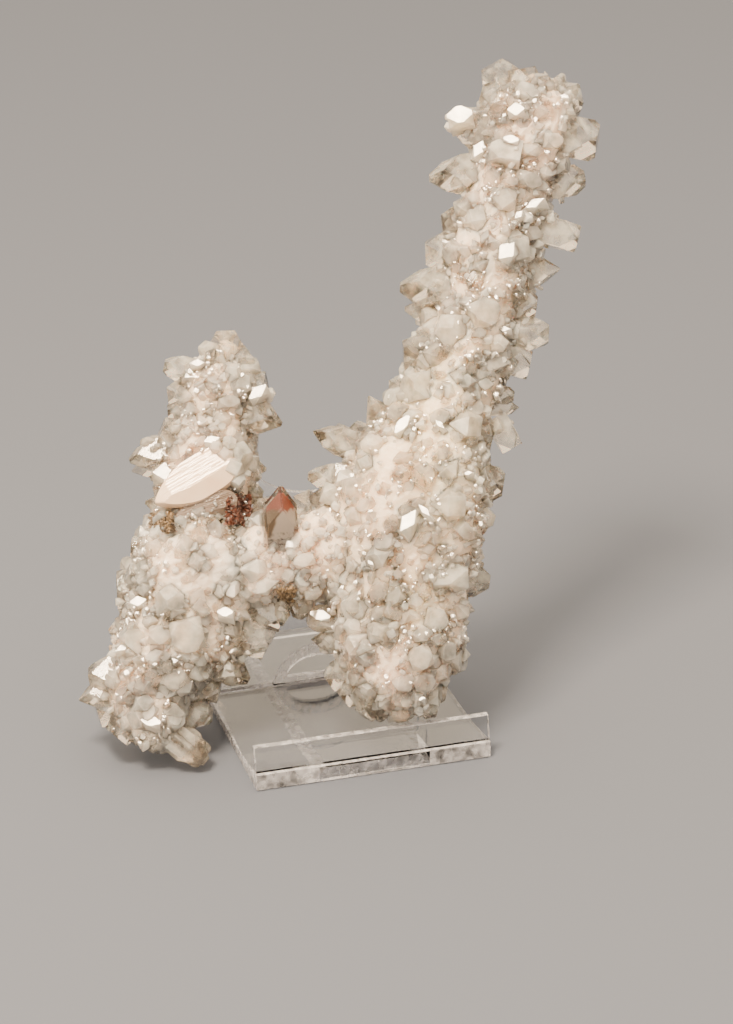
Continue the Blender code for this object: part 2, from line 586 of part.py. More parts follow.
def keep_outer_surface(mesh):
    """Removes every island of faces but the largest: the walls of air pockets shut in between crystals."""
    bm = bmesh.new()
    bm.from_mesh(mesh)
    waiting = set(bm.faces)
    islands = []
    while waiting:
        island = {waiting.pop()}
        edge = list(island)
        while edge:
            face = edge.pop()
            joined = [side for side in face.edges if len(side.link_faces) == 2]
            for neighbour in {other for side in joined for other in side.link_faces}:
                if neighbour in waiting:
                    waiting.remove(neighbour)
                    island.add(neighbour)
                    edge.append(neighbour)
        islands.append(island)
    largest = max(islands, key=len)
    inner = [face for island in islands if island is not largest for face in island]
    bmesh.ops.delete(bm, geom=inner, context="FACES")
    bm.to_mesh(mesh)
    bm.free()


def grow(name, stations, crystals, seed, helpers):
    """One stalactite's core, the bridge and all its crystals, joined in one."""
    bm = bmesh.new()
    add_core(bm, stations, seed)
    add_core(bm, BRIDGE_STATIONS, BRIDGE_SEED)
    grown = object_from(name + "_grown", bm, None, helpers)
    boolean(grown, "UNION", cloud(name + "_crystals", crystals, helpers), own_parts=True)
    return grown


def cut_and_keep(grown, name, cutters, parts, finish):
    """The grown stalactite less its cutters, kept as one solid with nothing shut in."""
    for cutter in cutters:
        boolean(grown, "DIFFERENCE", cutter)
    graph = bpy.context.evaluated_depsgraph_get()
    mesh = bpy.data.meshes.new_from_object(grown.evaluated_get(graph))
    bpy.data.objects.remove(grown)
    keep_outer_surface(mesh)
    mesh.name = name
    mesh.materials.append(finish)
    stalactite = bpy.data.objects.new(name, mesh)
    parts.objects.link(stalactite)
    return stalactite


def main():
    """Clears the scene and builds the object."""
    for old in list(bpy.data.objects):
        bpy.data.objects.remove(old)
    parts = bpy.data.collections.new("apophyllite_on_easel")
    helpers = bpy.data.collections.new("cutters")
    for collection in (parts, helpers):
        bpy.context.scene.collection.children.link(collection)
    milky = material("apophyllite", (0.86, 0.80, 0.76), 0.12, 0.35, 1.535)
    peach = material("heulandite", (0.90, 0.74, 0.64), 0.15)
    rusty = material("stained_apophyllite", (0.62, 0.42, 0.30), 0.2)
    clear = material("clear_plastic", (0.93, 0.93, 0.96), 0.03, 0.9, 1.49)

    pose = bpy.data.objects.new("specimen_pose", None)
    parts.objects.link(pose)
    place = Matrix.Translation(Vector(SPECIMEN_PLACE) * MM)
    pose.matrix_world = (
        place @ Matrix.Rotation(SPECIMEN_TURN, 4, "Z") @ Matrix.Rotation(-SPECIMEN_LEAN, 4, "X")
    )

    blade = coffin("heulandite_blade", 0.0, peach, parts)
    capped = stained("stained_crystal", 0.0, rusty, parts)
    sockets = [
        as_cutter(coffin("blade_socket", SOCKET_GAP, None, helpers)),
        as_cutter(stained("stained_socket", SOCKET_GAP, None, helpers)),
    ]
    left_crystals = list(LEFT_CRYSTALS) + facet_crystals(LEFT_STATIONS, LEFT_FACETS)
    left_crystals += scattered_crystals(LEFT_STATIONS, 60, 11, LEFT_SEED)
    right_crystals = list(RIGHT_CRYSTALS) + facet_crystals(RIGHT_STATIONS, RIGHT_FACETS)
    right_crystals += scattered_crystals(RIGHT_STATIONS, 90, 23, RIGHT_SEED)
    past_left = half_space("past_left", 1, helpers)
    past_right = half_space("past_right", -1, helpers)
    left_grown = grow("left_stalactite", LEFT_STATIONS, left_crystals, LEFT_SEED, helpers)
    left = cut_and_keep(left_grown, "left_stalactite", [past_left, *sockets], parts, milky)
    right_grown = grow("right_stalactite", RIGHT_STATIONS, right_crystals, RIGHT_SEED, helpers)
    right = cut_and_keep(right_grown, "right_stalactite", [past_right, *sockets], parts, milky)
    for made in (left, right, blade, capped, *helpers.objects):
        made.parent = pose

    build_stand_base(parts, helpers, clear)
    build_stand_back(parts, helpers, clear)
    bpy.context.view_layer.update()


main()
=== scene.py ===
"""Looks of an apophyllite specimen: two crystal-covered stalactites grown together, leaning on a clear easel.

The specimen is worked out in its own frame in millimetres (x to the right, y away from the viewer, z up
along the specimen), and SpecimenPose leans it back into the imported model's frame in metres. Every crystal
is the same solid, a square prism cut by a four-sided pyramid that is turned 45 degrees to it, which is how
apophyllite grows.
"""

import logging
import math
from dataclasses import dataclass, fields
from enum import Enum

import bmesh
import bpy
import numpy as np
from mathutils import Matrix, Quaternion


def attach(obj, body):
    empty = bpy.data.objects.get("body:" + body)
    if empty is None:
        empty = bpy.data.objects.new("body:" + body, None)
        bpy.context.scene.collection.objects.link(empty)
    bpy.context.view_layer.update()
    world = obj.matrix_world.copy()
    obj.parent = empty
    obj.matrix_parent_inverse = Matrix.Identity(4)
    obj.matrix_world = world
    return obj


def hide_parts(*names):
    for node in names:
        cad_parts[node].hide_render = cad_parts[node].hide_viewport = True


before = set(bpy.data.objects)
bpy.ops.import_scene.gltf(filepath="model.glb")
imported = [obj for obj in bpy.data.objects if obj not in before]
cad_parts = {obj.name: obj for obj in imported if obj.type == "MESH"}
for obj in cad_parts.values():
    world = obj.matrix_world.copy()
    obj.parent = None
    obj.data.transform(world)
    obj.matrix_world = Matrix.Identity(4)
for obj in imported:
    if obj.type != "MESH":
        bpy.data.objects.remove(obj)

Piece = bpy.types.Object
Finish = bpy.types.Material
Socket = bpy.types.NodeSocket
Chance = np.random.Generator
Colour = tuple[float, float, float]
Point = tuple[float, float, float]
Range = tuple[float, float]
Placed = tuple[Point, Point, float, float, float]

LOG = logging.getLogger("apophyllite")
MM = 0.001
BODY = "root"

# How the specimen stands on the easel: its lean back, its turn, and its frame's origin in millimetres
SPECIMEN_LEAN = math.radians(24.5)
SPECIMEN_TURN = math.radians(-16.8)
SPECIMEN_PLACE = (1.98, 6.75, 0.0)

# A crystal is a stack of octagons. Its pyramid rises by the slope for each millimetre inwards
LEVELS = 4
SIDES = 8
PYRAMID_SLOPE = 1.25
# |x| + |y| in half widths: at the shoulder, at the prism's end, and at the widest and least flat ends
SHOULDER_REACH = 1.95
PRISM_END_REACH = 1.03
WIDEST_END = 1.35
LEAST_END = 0.07
# What keeps levels and narrow sides apart: shares of the crystal's length, and of the octagon's reach
LEVEL_STEP = 0.02
HIGHEST_PRISM = 0.985
CHAMFER = 0.97
# How clear a crystal is at its root, as a share of its own clearness, and what it gains up to the tip
ROOT_CLEARNESS = 0.8
CLEARNESS_GAIN = 0.2
# A direction that no crystal grows in, which fixes how it is turned
ASKEW = (0.31, 0.17, 0.93)

# The turn between neighbours on a spiral over a core, and how far crystals lean along it near its ends
GOLDEN_TURN = math.pi * (3 - math.sqrt(5))
END_LEAN = 0.9
# Where the bridge is split between the branches, and how far each half reaches past that, as shares of it
FORK_SHARE = 0.5
FORK_OVERLAP = 0.02
# The far point that the bright faces look at, so that they mirror the key light to the camera
FACET_POINT = (-125.0, -945.0, 432.0)
# Large crystals whose tips are lower than this carry no small ones, which would reach the floor
BARE_BELOW = 6.0
# The skin's ripples, as height and wavelength
SKIN_RIPPLES = ((0.5, 6.0), (0.35, 2.2))
# How far light spreads in milky crystal, by its red, green and blue parts in metres
MILKY_SPREAD = (0.005, 0.0046, 0.0044)

# Stations of the lines of growth: x, depth, z and the core's radius
LEFT_STATIONS = (
    (-57.0, -5.5, 7.5, 4.0),
    (-61.5, -5.0, 11.5, 8.0),
    (-64.0, -2.0, 19.5, 12.5),
    (-60.5, 0.0, 29.5, 14.5),
    (-54.5, 0.0, 40.5, 17.0),
    (-51.5, 0.0, 52.0, 17.0),
    (-50.5, 0.0, 63.5, 15.5),
    (-49.0, 0.0, 75.0, 11.5),
    (-47.5, 0.0, 86.5, 12.0),
    (-46.0, 0.0, 98.0, 9.5),
    (-44.5, 0.0, 109.5, 9.0),
    (-43.0, 0.0, 118.0, 5.0),
)
RIGHT_STATIONS = (
    (8.0, -6.5, 15.0, 5.0),
    (7.5, -4.5, 20.5, 11.0),
    (6.5, -1.5, 32.0, 16.5),
    (7.0, 0.0, 43.5, 18.0),
    (7.5, 0.0, 58.0, 19.5),
    (10.5, 0.0, 72.5, 20.5),
    (15.0, 0.0, 86.5, 19.0),
    (19.0, 0.0, 98.5, 14.0),
    (23.5, 0.0, 110.0, 12.0),
    (27.0, 0.0, 121.5, 12.5),
    (30.5, 0.0, 133.0, 11.0),
    (33.5, 0.0, 144.5, 11.5),
    (36.5, 0.0, 156.0, 11.0),
    (39.5, 0.0, 167.5, 11.5),
    (43.0, 0.0, 179.0, 11.5),
    (45.5, 0.0, 190.5, 10.5),
    (45.5, 0.0, 194.5, 5.5),
)
BRIDGE_STATIONS = (
    (-50.0, 0.0, 57.5, 12.0),
    (-37.0, 0.0, 57.5, 13.0),
    (-24.0, 0.5, 58.5, 12.0),
    (-11.0, 0.5, 60.5, 13.5),
    (4.0, 0.0, 60.5, 13.0),
)

# Crystals that draw the outline: tip, root, half width, share of the point cut back, twist in degrees
RIGHT_CRYSTALS = (
    ((35.0, 2.0, 201.0), (40.5, 0.5, 189.5), 4.6, 0.8, 20),
    ((42.5, -2.0, 199.5), (44.5, -0.5, 189.5), 4.2, 0.8, 40),
    ((49.5, 1.0, 199.0), (50.5, 0.5, 190.0), 2.3, 0.0, 15),
    ((54.5, -3.0, 198.0), (51.0, -1.0, 189.0), 2.6, 0.2, 30),
    ((59.5, 2.0, 191.0), (52.5, 0.5, 190.5), 4.8, 0.7, 25),
    ((64.5, -2.0, 178.5), (52.5, -0.5, 180.5), 6.0, 0.6, 15),
    ((61.0, 1.0, 168.0), (51.0, 0.5, 167.0), 4.5, 0.4, 20),
    ((59.0, 0.0, 150.5), (47.5, 0.0, 153.5), 4.0, 0.7, 10),
    ((54.0, 2.0, 142.0), (44.0, 0.5, 141.0), 4.0, 0.0, 35),
    ((47.0, 0.0, 131.0), (39.5, 0.0, 132.0), 3.8, 0.6, 20),
    ((50.5, -1.0, 123.0), (40.0, -0.5, 123.5), 3.8, 0.6, 45),
    ((45.0, 0.0, 114.0), (36.5, 0.0, 116.0), 4.2, 0.8, 10),
    ((40.5, -1.0, 105.0), (33.5, -0.5, 106.0), 2.6, 0.4, 10),
    ((42.0, 2.0, 102.0), (33.0, 0.5, 101.5), 1.8, 0.0, 20),
    ((40.0, 0.0, 90.0), (35.0, 0.0, 99.0), 3.2, 0.9, 10),
    ((37.5, -1.0, 79.5), (28.0, -0.5, 81.0), 5.0, 0.5, 10),
    ((34.5, 1.0, 75.0), (27.0, 0.5, 75.0), 2.3, 0.2, 10),
    ((31.0, -2.0, 71.5), (24.0, -0.5, 72.5), 2.3, 0.3, 30),
    ((31.0, 0.0, 61.0), (24.0, 0.0, 63.5), 2.6, 0.0, 5),
    ((33.5, 0.0, 51.5), (22.0, 0.0, 53.0), 5.0, 0.3, 20),
    ((27.0, 1.0, 44.5), (19.0, 0.5, 45.0), 4.8, 0.7, 25),
    ((27.0, 0.0, 36.0), (20.0, 0.0, 36.5), 2.6, 0.3, 10),
    ((23.5, -1.0, 28.0), (16.0, -0.5, 31.0), 3.6, 0.5, 20),
    ((21.0, -1.0, 19.5), (13.0, -1.0, 21.0), 3.6, 0.5, 10),
    ((16.5, -6.0, 13.0), (14.5, -3.0, 21.0), 2.8, 0.6, 25),
    ((7.5, -8.0, 12.0), (7.5, -4.0, 20.5), 2.8, 0.6, 30),
    ((1.5, -4.5, 11.5), (4.0, -2.0, 19.0), 2.2, 0.3, 20),
    ((-3.0, -3.0, 13.0), (2.0, -1.5, 20.0), 3.2, 0.8, 10),
    ((-9.0, -1.0, 17.5), (-2.0, 0.0, 23.0), 3.2, 0.8, 25),
    ((-13.0, 1.0, 22.5), (-5.0, 0.5, 28.0), 3.4, 0.8, 10),
    ((-18.0, -2.0, 35.0), (-9.0, -0.5, 34.0), 2.6, 0.0, 10),
    ((-18.5, -4.0, 41.5), (-9.5, -1.0, 40.0), 3.2, 0.8, 15),
    ((-22.0, -3.0, 41.0), (-19.0, -1.0, 51.0), 3.6, 0.3, 70),
    ((-17.5, -1.0, 95.0), (-4.0, -0.5, 90.0), 3.4, 0.0, 10),
    ((-19.0, -2.0, 82.0), (-8.0, -0.5, 81.0), 3.2, 0.3, 20),
    ((-17.0, -1.0, 77.5), (-10.0, 0.0, 68.0), 3.8, 0.5, 15),
    ((-21.0, 1.0, 77.0), (-15.0, 0.0, 64.0), 3.7, 0.7, 40),
    ((-1.5, -4.0, 105.0), (5.0, -1.0, 93.0), 4.9, 0.0, 10),
    ((-6.0, 1.0, 97.0), (0.0, 0.5, 91.0), 2.6, 0.5, 10),
    ((-11.0, 2.0, 96.5), (-4.0, 0.5, 88.0), 3.0, 0.4, 40),
    ((4.5, 1.0, 106.5), (16.0, 0.5, 106.5), 4.9, 0.7, 30),
    ((8.5, -1.0, 117.0), (18.5, -0.5, 117.5), 4.8, 0.7, 15),
    ((9.0, 1.0, 130.5), (21.0, 0.5, 129.5), 3.4, 0.2, 25),
    ((7.5, -1.0, 136.5), (22.0, -0.5, 136.0), 5.5, 0.2, 10),
    ((15.0, 1.0, 146.5), (25.5, 0.5, 147.0), 4.4, 0.7, 20),
    ((19.5, -1.0, 155.0), (28.5, -0.5, 156.0), 4.0, 0.6, 35),
    ((16.0, -1.0, 168.0), (30.0, -0.5, 169.5), 4.6, 0.2, 10),
    ((22.0, -3.0, 184.5), (34.5, -1.0, 181.0), 5.8, 0.3, 15),
    ((31.5, 2.0, 192.5), (38.5, 0.5, 190.5), 3.8, 0.8, 30),
)
LEFT_CRYSTALS = (
    ((-43.0, -1.0, 124.0), (-42.5, -0.5, 114.0), 4.5, 0.6, 20),
    ((-35.0, 0.0, 116.5), (-41.5, 0.0, 112.0), 4.2, 0.8, 30),
    ((-49.0, 2.0, 118.0), (-44.0, 0.5, 112.0), 3.2, 0.6, 10),
    ((-60.5, -1.0, 114.0), (-49.5, -0.5, 111.5), 3.0, 0.5, 15),
    ((-59.5, 0.0, 105.5), (-51.0, 0.0, 106.5), 3.0, 0.8, 30),
    ((-59.5, -1.0, 100.5), (-51.0, -0.5, 101.0), 2.7, 0.6, 5),
    ((-31.0, -2.0, 108.0), (-41.0, -0.5, 107.5), 4.2, 0.8, 10),
    ((-26.5, -1.0, 97.0), (-38.5, -0.5, 101.0), 4.6, 0.1, 10),
    ((-61.5, -2.0, 95.0), (-53.5, -0.5, 92.0), 4.2, 0.9, 20),
    ((-70.5, -1.0, 86.5), (-56.5, -0.5, 90.5), 3.2, 0.2, 10),
    ((-70.0, 2.0, 83.5), (-57.0, 0.5, 86.5), 2.8, 0.1, 30),
    ((-63.5, 0.0, 77.5), (-55.0, 0.0, 79.5), 3.0, 0.6, 20),
    ((-66.0, 0.0, 74.5), (-56.0, 0.0, 73.0), 2.3, 0.2, 20),
    ((-31.0, -2.0, 84.0), (-40.0, -0.5, 85.0), 3.6, 0.1, 10),
    ((-33.5, -1.0, 91.0), (-41.5, -0.5, 91.5), 3.2, 0.6, 50),
    ((-32.0, 0.0, 76.5), (-41.0, 0.0, 78.5), 3.4, 0.3, 20),
    ((-30.5, -1.0, 76.0), (-30.0, 0.0, 66.0), 4.4, 0.7, 20),
    ((-70.0, 0.0, 61.0), (-61.5, 0.0, 60.5), 3.8, 0.8, 15),
    ((-74.0, -1.0, 49.0), (-64.0, -0.5, 49.5), 5.5, 0.9, 10),
    ((-73.0, 1.0, 40.5), (-64.5, 0.5, 39.5), 4.6, 0.9, 20),
    ((-82.0, 0.0, 23.0), (-72.0, 0.0, 24.5), 5.2, 0.6, 15),
    ((-85.0, -1.0, 17.5), (-72.5, -0.5, 21.0), 3.2, 0.1, 10),
    ((-79.5, -2.0, 13.0), (-70.5, -0.5, 16.0), 4.0, 0.8, 30),
    ((-74.0, -5.0, 7.0), (-68.5, -4.0, 14.0), 3.8, 0.9, 10),
    ((-66.0, -7.0, 5.0), (-63.5, -4.0, 12.0), 3.8, 0.8, 30),
    ((-48.5, -6.5, 1.0), (-58.5, -6.0, 8.5), 4.0, 0.6, 10),
    ((-48.0, -6.5, 0.0), (-57.0, -6.0, 7.5), 3.7, 0.4, 50),
    ((-47.0, -4.0, 14.5), (-56.5, -2.0, 13.0), 3.9, 0.6, 20),
    ((-44.5, -1.0, 20.0), (-53.5, -0.5, 22.0), 3.6, 0.8, 10),
    ((-36.0, -2.0, 23.0), (-46.5, -0.5, 29.0), 4.2, 0.2, 15),
    ((-30.0, -1.0, 33.5), (-40.0, -0.5, 39.0), 5.0, 0.9, 25),
    ((-26.5, 0.0, 41.5), (-38.0, 0.0, 44.0), 4.6, 0.8, 10),
    ((-26.5, -6.0, 39.0), (-26.0, -4.0, 47.5), 1.6, 0.3, 30),
)

# Bright flat-topped crystals in front: x, z, half width, cut, twist in degrees, depth per width, forward
RIGHT_FACETS = (
    (30.6, 174.9, 3.0, 0.70, 80, 0.60, 0.0),
    (41.9, 155.5, 1.7, 0.70, 60, 0.60, 0.0),
    (46.5, 159.0, 3.4, 0.65, 45, 0.45, 0.0),
    (38.4, 145.1, 3.2, 0.75, 65, 0.80, 0.0),
    (25.0, 184.2, 3.6, 0.90, 25, 0.70, 7.0),
    (41.0, 185.5, 2.4, 0.80, 20, 0.80, 0.0),
    (39.6, 176.9, 2.2, 0.90, 5, 0.50, 0.0),
    (55.2, 189.9, 1.4, 0.70, 0, 0.50, 2.0),
    (10.1, 68.0, 3.8, 0.75, 75, 0.55, 0.0),
    (14.7, 70.9, 3.0, 0.60, 150, 0.35, 0.0),
    (-0.6, 56.4, 1.5, 0.70, 140, 0.50, 0.0),
    (8.4, 95.4, 3.2, 0.90, 70, 0.45, 0.0),
    (19.1, 95.4, 2.2, 0.60, 150, 0.40, 0.0),
    (30.6, 89.1, 1.5, 0.70, 70, 0.80, 0.0),
    (27.2, 81.5, 1.7, 0.50, 30, 0.60, 0.0),
    (-15.0, 40.8, 2.9, 0.90, 5, 0.50, 1.0),
    (37.9, 122.9, 2.0, 0.60, 20, 0.50, 0.0),
    (21.1, 32.4, 2.0, 0.60, 70, 0.30, 0.0),
    (13.5, 17.5, 1.6, 0.85, 10, 0.60, 0.0),
)
LEFT_FACETS = (
    (-50.3, 113.3, 2.2, 0.70, 20, 0.50, 0.0),
    (-33.0, 105.0, 3.2, 0.80, 60, 0.50, 2.0),
    (-45.9, 91.1, 2.2, 0.80, 30, 0.50, 0.0),
    (-71.4, 31.8, 2.6, 0.70, 50, 0.40, 0.0),
    (-55.2, 29.8, 2.4, 0.60, 20, 0.40, 0.0),
    (-41.0, 30.4, 2.4, 0.60, 140, 0.28, 1.0),
    (-63.3, 11.0, 3.0, 0.90, 5, 0.50, 0.0),
    (-67.0, 45.0, 2.4, 0.80, 30, 0.60, 0.0),
    (-42.0, 42.0, 2.2, 0.90, 15, 0.60, 0.0),
)
# Crystals that bury the blunt end of the peach blade
BLADE_COVER = (
    ((-42.5, -15.5, 88.5), (-42.0, -9.0, 87.5), 2.3, 0.5, 20),
    ((-39.8, -15.0, 84.5), (-40.5, -9.0, 84.5), 2.6, 0.7, 40),
    ((-41.0, -16.0, 91.5), (-41.5, -9.0, 90.5), 1.9, 0.2, 10),
    ((-45.0, -15.5, 90.5), (-44.5, -9.0, 89.5), 1.8, 0.6, 55),
    ((-38.5, -13.5, 80.5), (-40.0, -8.0, 81.5), 2.4, 0.4, 30),
)
# Smooth places with few small crystals: x, z and reach in millimetres
CALM = (
    (-46.0, 52.0, 15.0),
    (-52.0, 4.0, 8.0),
    (17.0, 104.0, 6.0),
    (-51.0, 80.5, 10.0),
)


def unit(vectors: np.ndarray) -> np.ndarray:
    """Each vector divided by its own length."""
    vectors = np.asarray(vectors, float)
    return vectors / np.linalg.norm(vectors, axis=-1, keepdims=True)


class SpecimenPose:
    """Leans the specimen back against the easel about X, turns it about Z, and shifts it."""

    def __init__(self) -> None:
        """Works out the turn as one 3 by 3 matrix."""
        turn = Matrix.Rotation(SPECIMEN_TURN, 3, "Z") @ Matrix.Rotation(-SPECIMEN_LEAN, 3, "X")
        self.turn = np.array(turn)

    def world(self, points: np.ndarray) -> np.ndarray:
        """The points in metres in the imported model's frame.

        Args:
            points: millimetres in the specimen's frame, any number of rows.

        Returns:
            The same rows in metres.
        """
        return (np.asarray(points) @ self.turn.T + SPECIMEN_PLACE) * MM

    def direction(self, way: Point) -> np.ndarray:
        """A direction of the specimen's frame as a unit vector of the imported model's frame."""
        return unit(self.turn @ np.asarray(way, float))


POSE = SpecimenPose()


@dataclass
class Section:
    """Cuts through a line of growth: centres, radii, and the ways along, sideways and towards the viewer."""

    centre: np.ndarray
    radius: np.ndarray
    growth: np.ndarray
    side: np.ndarray
    front: np.ndarray


@dataclass(frozen=True)
class Growth:
    """A stalactite's line of growth, a smooth curve through stations of x, depth, z and radius.

    Its direction at a share is taken between the places a step before and after it. A search looks at as many
    places as samples, and a front stands out from its centre by least_bulge millimetres or more.
    """

    stations: tuple[tuple[float, float, float, float], ...]
    seed: int
    lump_height: float = 0.07
    lump_waves: tuple[tuple[int, int], ...] = ((3, 9), (2, -17), (0, 31), (5, 23))
    step: float = 0.02
    samples: int = 200
    least_bulge: float = 2.0

    def path(self, share: np.ndarray) -> np.ndarray:
        """The smooth curve at shares from 0 to 1.

        Each span of the curve is the cubic that passes through its two stations with the slopes of the chords
        that join the stations on either side of them.

        Args:
            share: how far along, one number for each row wanted.

        Returns:
            Rows of x, depth, z and radius in millimetres.
        """
        stations = np.asarray(self.stations, float)
        first, last = 2 * stations[0] - stations[1], 2 * stations[-1] - stations[-2]
        padded = np.vstack([first, stations, last])
        place = np.clip(np.asarray(share, float), 0, 1) * (len(stations) - 1)
        span = np.minimum(np.floor(place), len(stations) - 2).astype(int)
        t = (place - span)[..., None]
        p0, p1, p2, p3 = (padded[span + ahead] for ahead in range(4))
        return 0.5 * (
            2 * p1
            + (p2 - p0) * t
            + (2 * p0 - 5 * p1 + 4 * p2 - p3) * t**2
            + (3 * p1 - p0 - 3 * p2 + p3) * t**3
        )

    def section(self, share: np.ndarray) -> Section:
        """The cuts at the given shares, square to the curve."""
        here = self.path(share)
        growth = unit(self.path(share + self.step)[..., :3] - self.path(share - self.step)[..., :3])
        viewer = np.array([0.0, -1.0, 0.0])
        front = unit(viewer - growth * (growth @ viewer)[..., None])
        return Section(here[..., :3], here[..., 3], growth, np.cross(front, growth), front)

    def lumps(self, share: np.ndarray, angle: np.ndarray) -> np.ndarray:
        """A factor near one for the radius: a sum of sine waves by their counts round and along the core."""
        phases = np.random.default_rng(self.seed).uniform(0, math.tau, len(self.lump_waves))
        wave = sum(
            np.sin(around * angle + along * share + phase)
            for (around, along), phase in zip(self.lump_waves, phases)
        )
        return 1 + self.lump_height * wave / 2

    def even_shares(self, wanted: np.ndarray) -> np.ndarray:
        """Shares spread so that equal steps of wanted cover equal areas of the core."""
        shares = np.linspace(0, 1, self.samples)
        widths = self.path(shares)[:, 3]
        return np.interp(wanted, np.cumsum(widths) / widths.sum(), shares)

    def surface(self, share: np.ndarray, angle: np.ndarray) -> tuple[np.ndarray, np.ndarray, Section]:
        """Points of the core's skin and the ways out of it.

        Args:
            share: how far along each point is.
            angle: the angle round the core, 0 sideways and a quarter turn towards the viewer.

        Returns:
            The points, the outward unit vectors and the cuts they lie in.
        """
        cut = self.section(share)
        radial = np.cos(angle)[..., None] * cut.side + np.sin(angle)[..., None] * cut.front
        reach = (cut.radius * self.lumps(share, angle))[..., None]
        return cut.centre + reach * radial, radial, cut

    def front_depth(self, x: np.ndarray, z: np.ndarray) -> np.ndarray:
        """The depth of the core's front at x and z: its centre's, less the root of radius^2 - offset^2."""
        path = self.path(np.linspace(0, 1, self.samples))
        offsets = np.hypot(path[:, 0] - x[:, None], path[:, 2] - z[:, None])
        nearest = offsets.argmin(axis=1)
        squares = path[nearest, 3] ** 2 - offsets.min(axis=1) ** 2
        return path[nearest, 1] - np.sqrt(np.maximum(squares, self.least_bulge**2))


LEFT_LINE = Growth(LEFT_STATIONS, 3)
RIGHT_LINE = Growth(RIGHT_STATIONS, 7)
BRIDGE_LINE = Growth(BRIDGE_STATIONS, 5)


@dataclass
class Crystals:
    """A batch of crystals as arrays with a row for each."""

    tip: np.ndarray
    root: np.ndarray
    half_width: np.ndarray
    cut: np.ndarray
    twist: np.ndarray
    clear: np.ndarray
    depth: np.ndarray

    @classmethod
    def placed(cls, rows: list[Placed], clear: float) -> "Crystals":
        """A batch from rows of tip, root, half width, cut and twist in degrees, all equally clear."""
        tip, root, half_width, cut, twist = (np.array(column, float) for column in zip(*rows))
        count = len(rows)
        return cls(tip, root, half_width, cut, np.radians(twist), np.full(count, clear), np.ones(count))

    @classmethod
    def joined(cls, batches: list["Crystals"]) -> "Crystals":
        """All the batches as one."""
        return cls(*(np.concatenate(column) for column in zip(*(batch.columns() for batch in batches))))

    def columns(self) -> list[np.ndarray]:
        """The arrays in the order of their fields."""
        return [getattr(self, column.name) for column in fields(self)]

    def kept(self, keep: np.ndarray) -> "Crystals":
        """The rows that the mask keeps."""
        return Crystals(*(column[keep] for column in self.columns()))

    def shells(self) -> tuple[np.ndarray, np.ndarray]:
        """The crystals' corners and how clear the crystal is at each.

        A crystal is cut by four levels: its root, the shoulder where the pyramid starts, the level where
        the prism's faces end, and the flat end. At height h its outline is the octagon |x| <= a, |y| <= a,
        |x| + |y| <= s, where s = top + (length - h) / slope. The octagon's shortest sides are never quite
        zero, which leaves the narrow chamfers that catch the light. Last, y is multiplied by the crystal's
        depth.

        Returns:
            Corners, one block of 4 levels by 8 corners for each crystal, and clearness in the same order.
        """
        axis = unit(self.tip - self.root)
        length = np.linalg.norm(self.tip - self.root, axis=1)
        a = self.half_width
        top = np.maximum(self.cut * WIDEST_END, LEAST_END) * a
        shoulder = np.clip(length - (SHOULDER_REACH * a - top) * PYRAMID_SLOPE, LEVEL_STEP * length, None)
        prism_end = length - (PRISM_END_REACH * a - top) * PYRAMID_SLOPE
        prism_end = np.clip(prism_end, shoulder + LEVEL_STEP * length, length * HIGHEST_PRISM)
        height = np.stack([np.zeros_like(length), shoulder, prism_end, length], axis=1)
        widest = SHOULDER_REACH * a[:, None]
        reach = np.minimum(top[:, None] + (length[:, None] - height) / PYRAMID_SLOPE, widest)
        flat = np.minimum(a[:, None], CHAMFER * reach)
        short = reach - flat
        x = np.stack([flat, short, -short, -flat, -flat, -short, short, flat], axis=2)
        y = np.stack([short, flat, flat, short, -short, -flat, -flat, -short], axis=2)
        y = y * self.depth[:, None, None]
        sideways = unit(np.cross(axis, ASKEW))
        turned = np.cross(axis, sideways)
        cosine, sine = np.cos(self.twist)[:, None], np.sin(self.twist)[:, None]
        across = cosine * sideways + sine * turned
        upright = np.cross(axis, across)
        corners = (
            self.root[:, None, None]
            + x[..., None] * across[:, None, None]
            + y[..., None] * upright[:, None, None]
            + height[:, :, None, None] * axis[:, None, None]
        )
        up_crystal = np.broadcast_to((height / length[:, None])[:, :, None], x.shape)
        clearness = np.clip(self.clear[:, None, None] * (ROOT_CLEARNESS + CLEARNESS_GAIN * up_crystal), 0, 1)
        return corners.reshape(-1, 3), clearness.reshape(-1)


def grid_quads(rows: int, columns: int, closed: bool = True) -> np.ndarray:
    """Faces of a grid of rows by columns, the last column joined to the first where it is closed."""
    spans = columns if closed else columns - 1
    row, column = np.meshgrid(np.arange(rows - 1), np.arange(spans), indexing="ij")
    here, after = row * columns + column, row * columns + (column + 1) % columns
    return np.stack([here, after, after + columns, here + columns], -1).reshape(-1, 4)


def crystal_quads(count: int) -> np.ndarray:
    """Faces for count crystals, each a stack of octagons: side faces, then both ends as three quads each."""
    cap = np.array([[0, 1, 2, 3], [0, 3, 4, 7], [4, 5, 6, 7]])
    one = np.vstack([grid_quads(LEVELS, SIDES), cap[:, ::-1], cap + (LEVELS - 1) * SIDES])
    return (one[None] + (np.arange(count) * LEVELS * SIDES)[:, None, None]).reshape(-1, 4)


def pole_fans(rows: int, columns: int) -> np.ndarray:
    """Triangles that join the first and last rings of a tube to the two poles that follow its points."""
    column = np.arange(columns)
    after = (column + 1) % columns
    last = (rows - 1) * columns
    first_pole = np.full(columns, rows * columns)
    start = np.stack([after, column, first_pole], axis=1)
    end = np.stack([last + column, last + after, first_pole + 1], axis=1)
    return np.vstack([start, end])


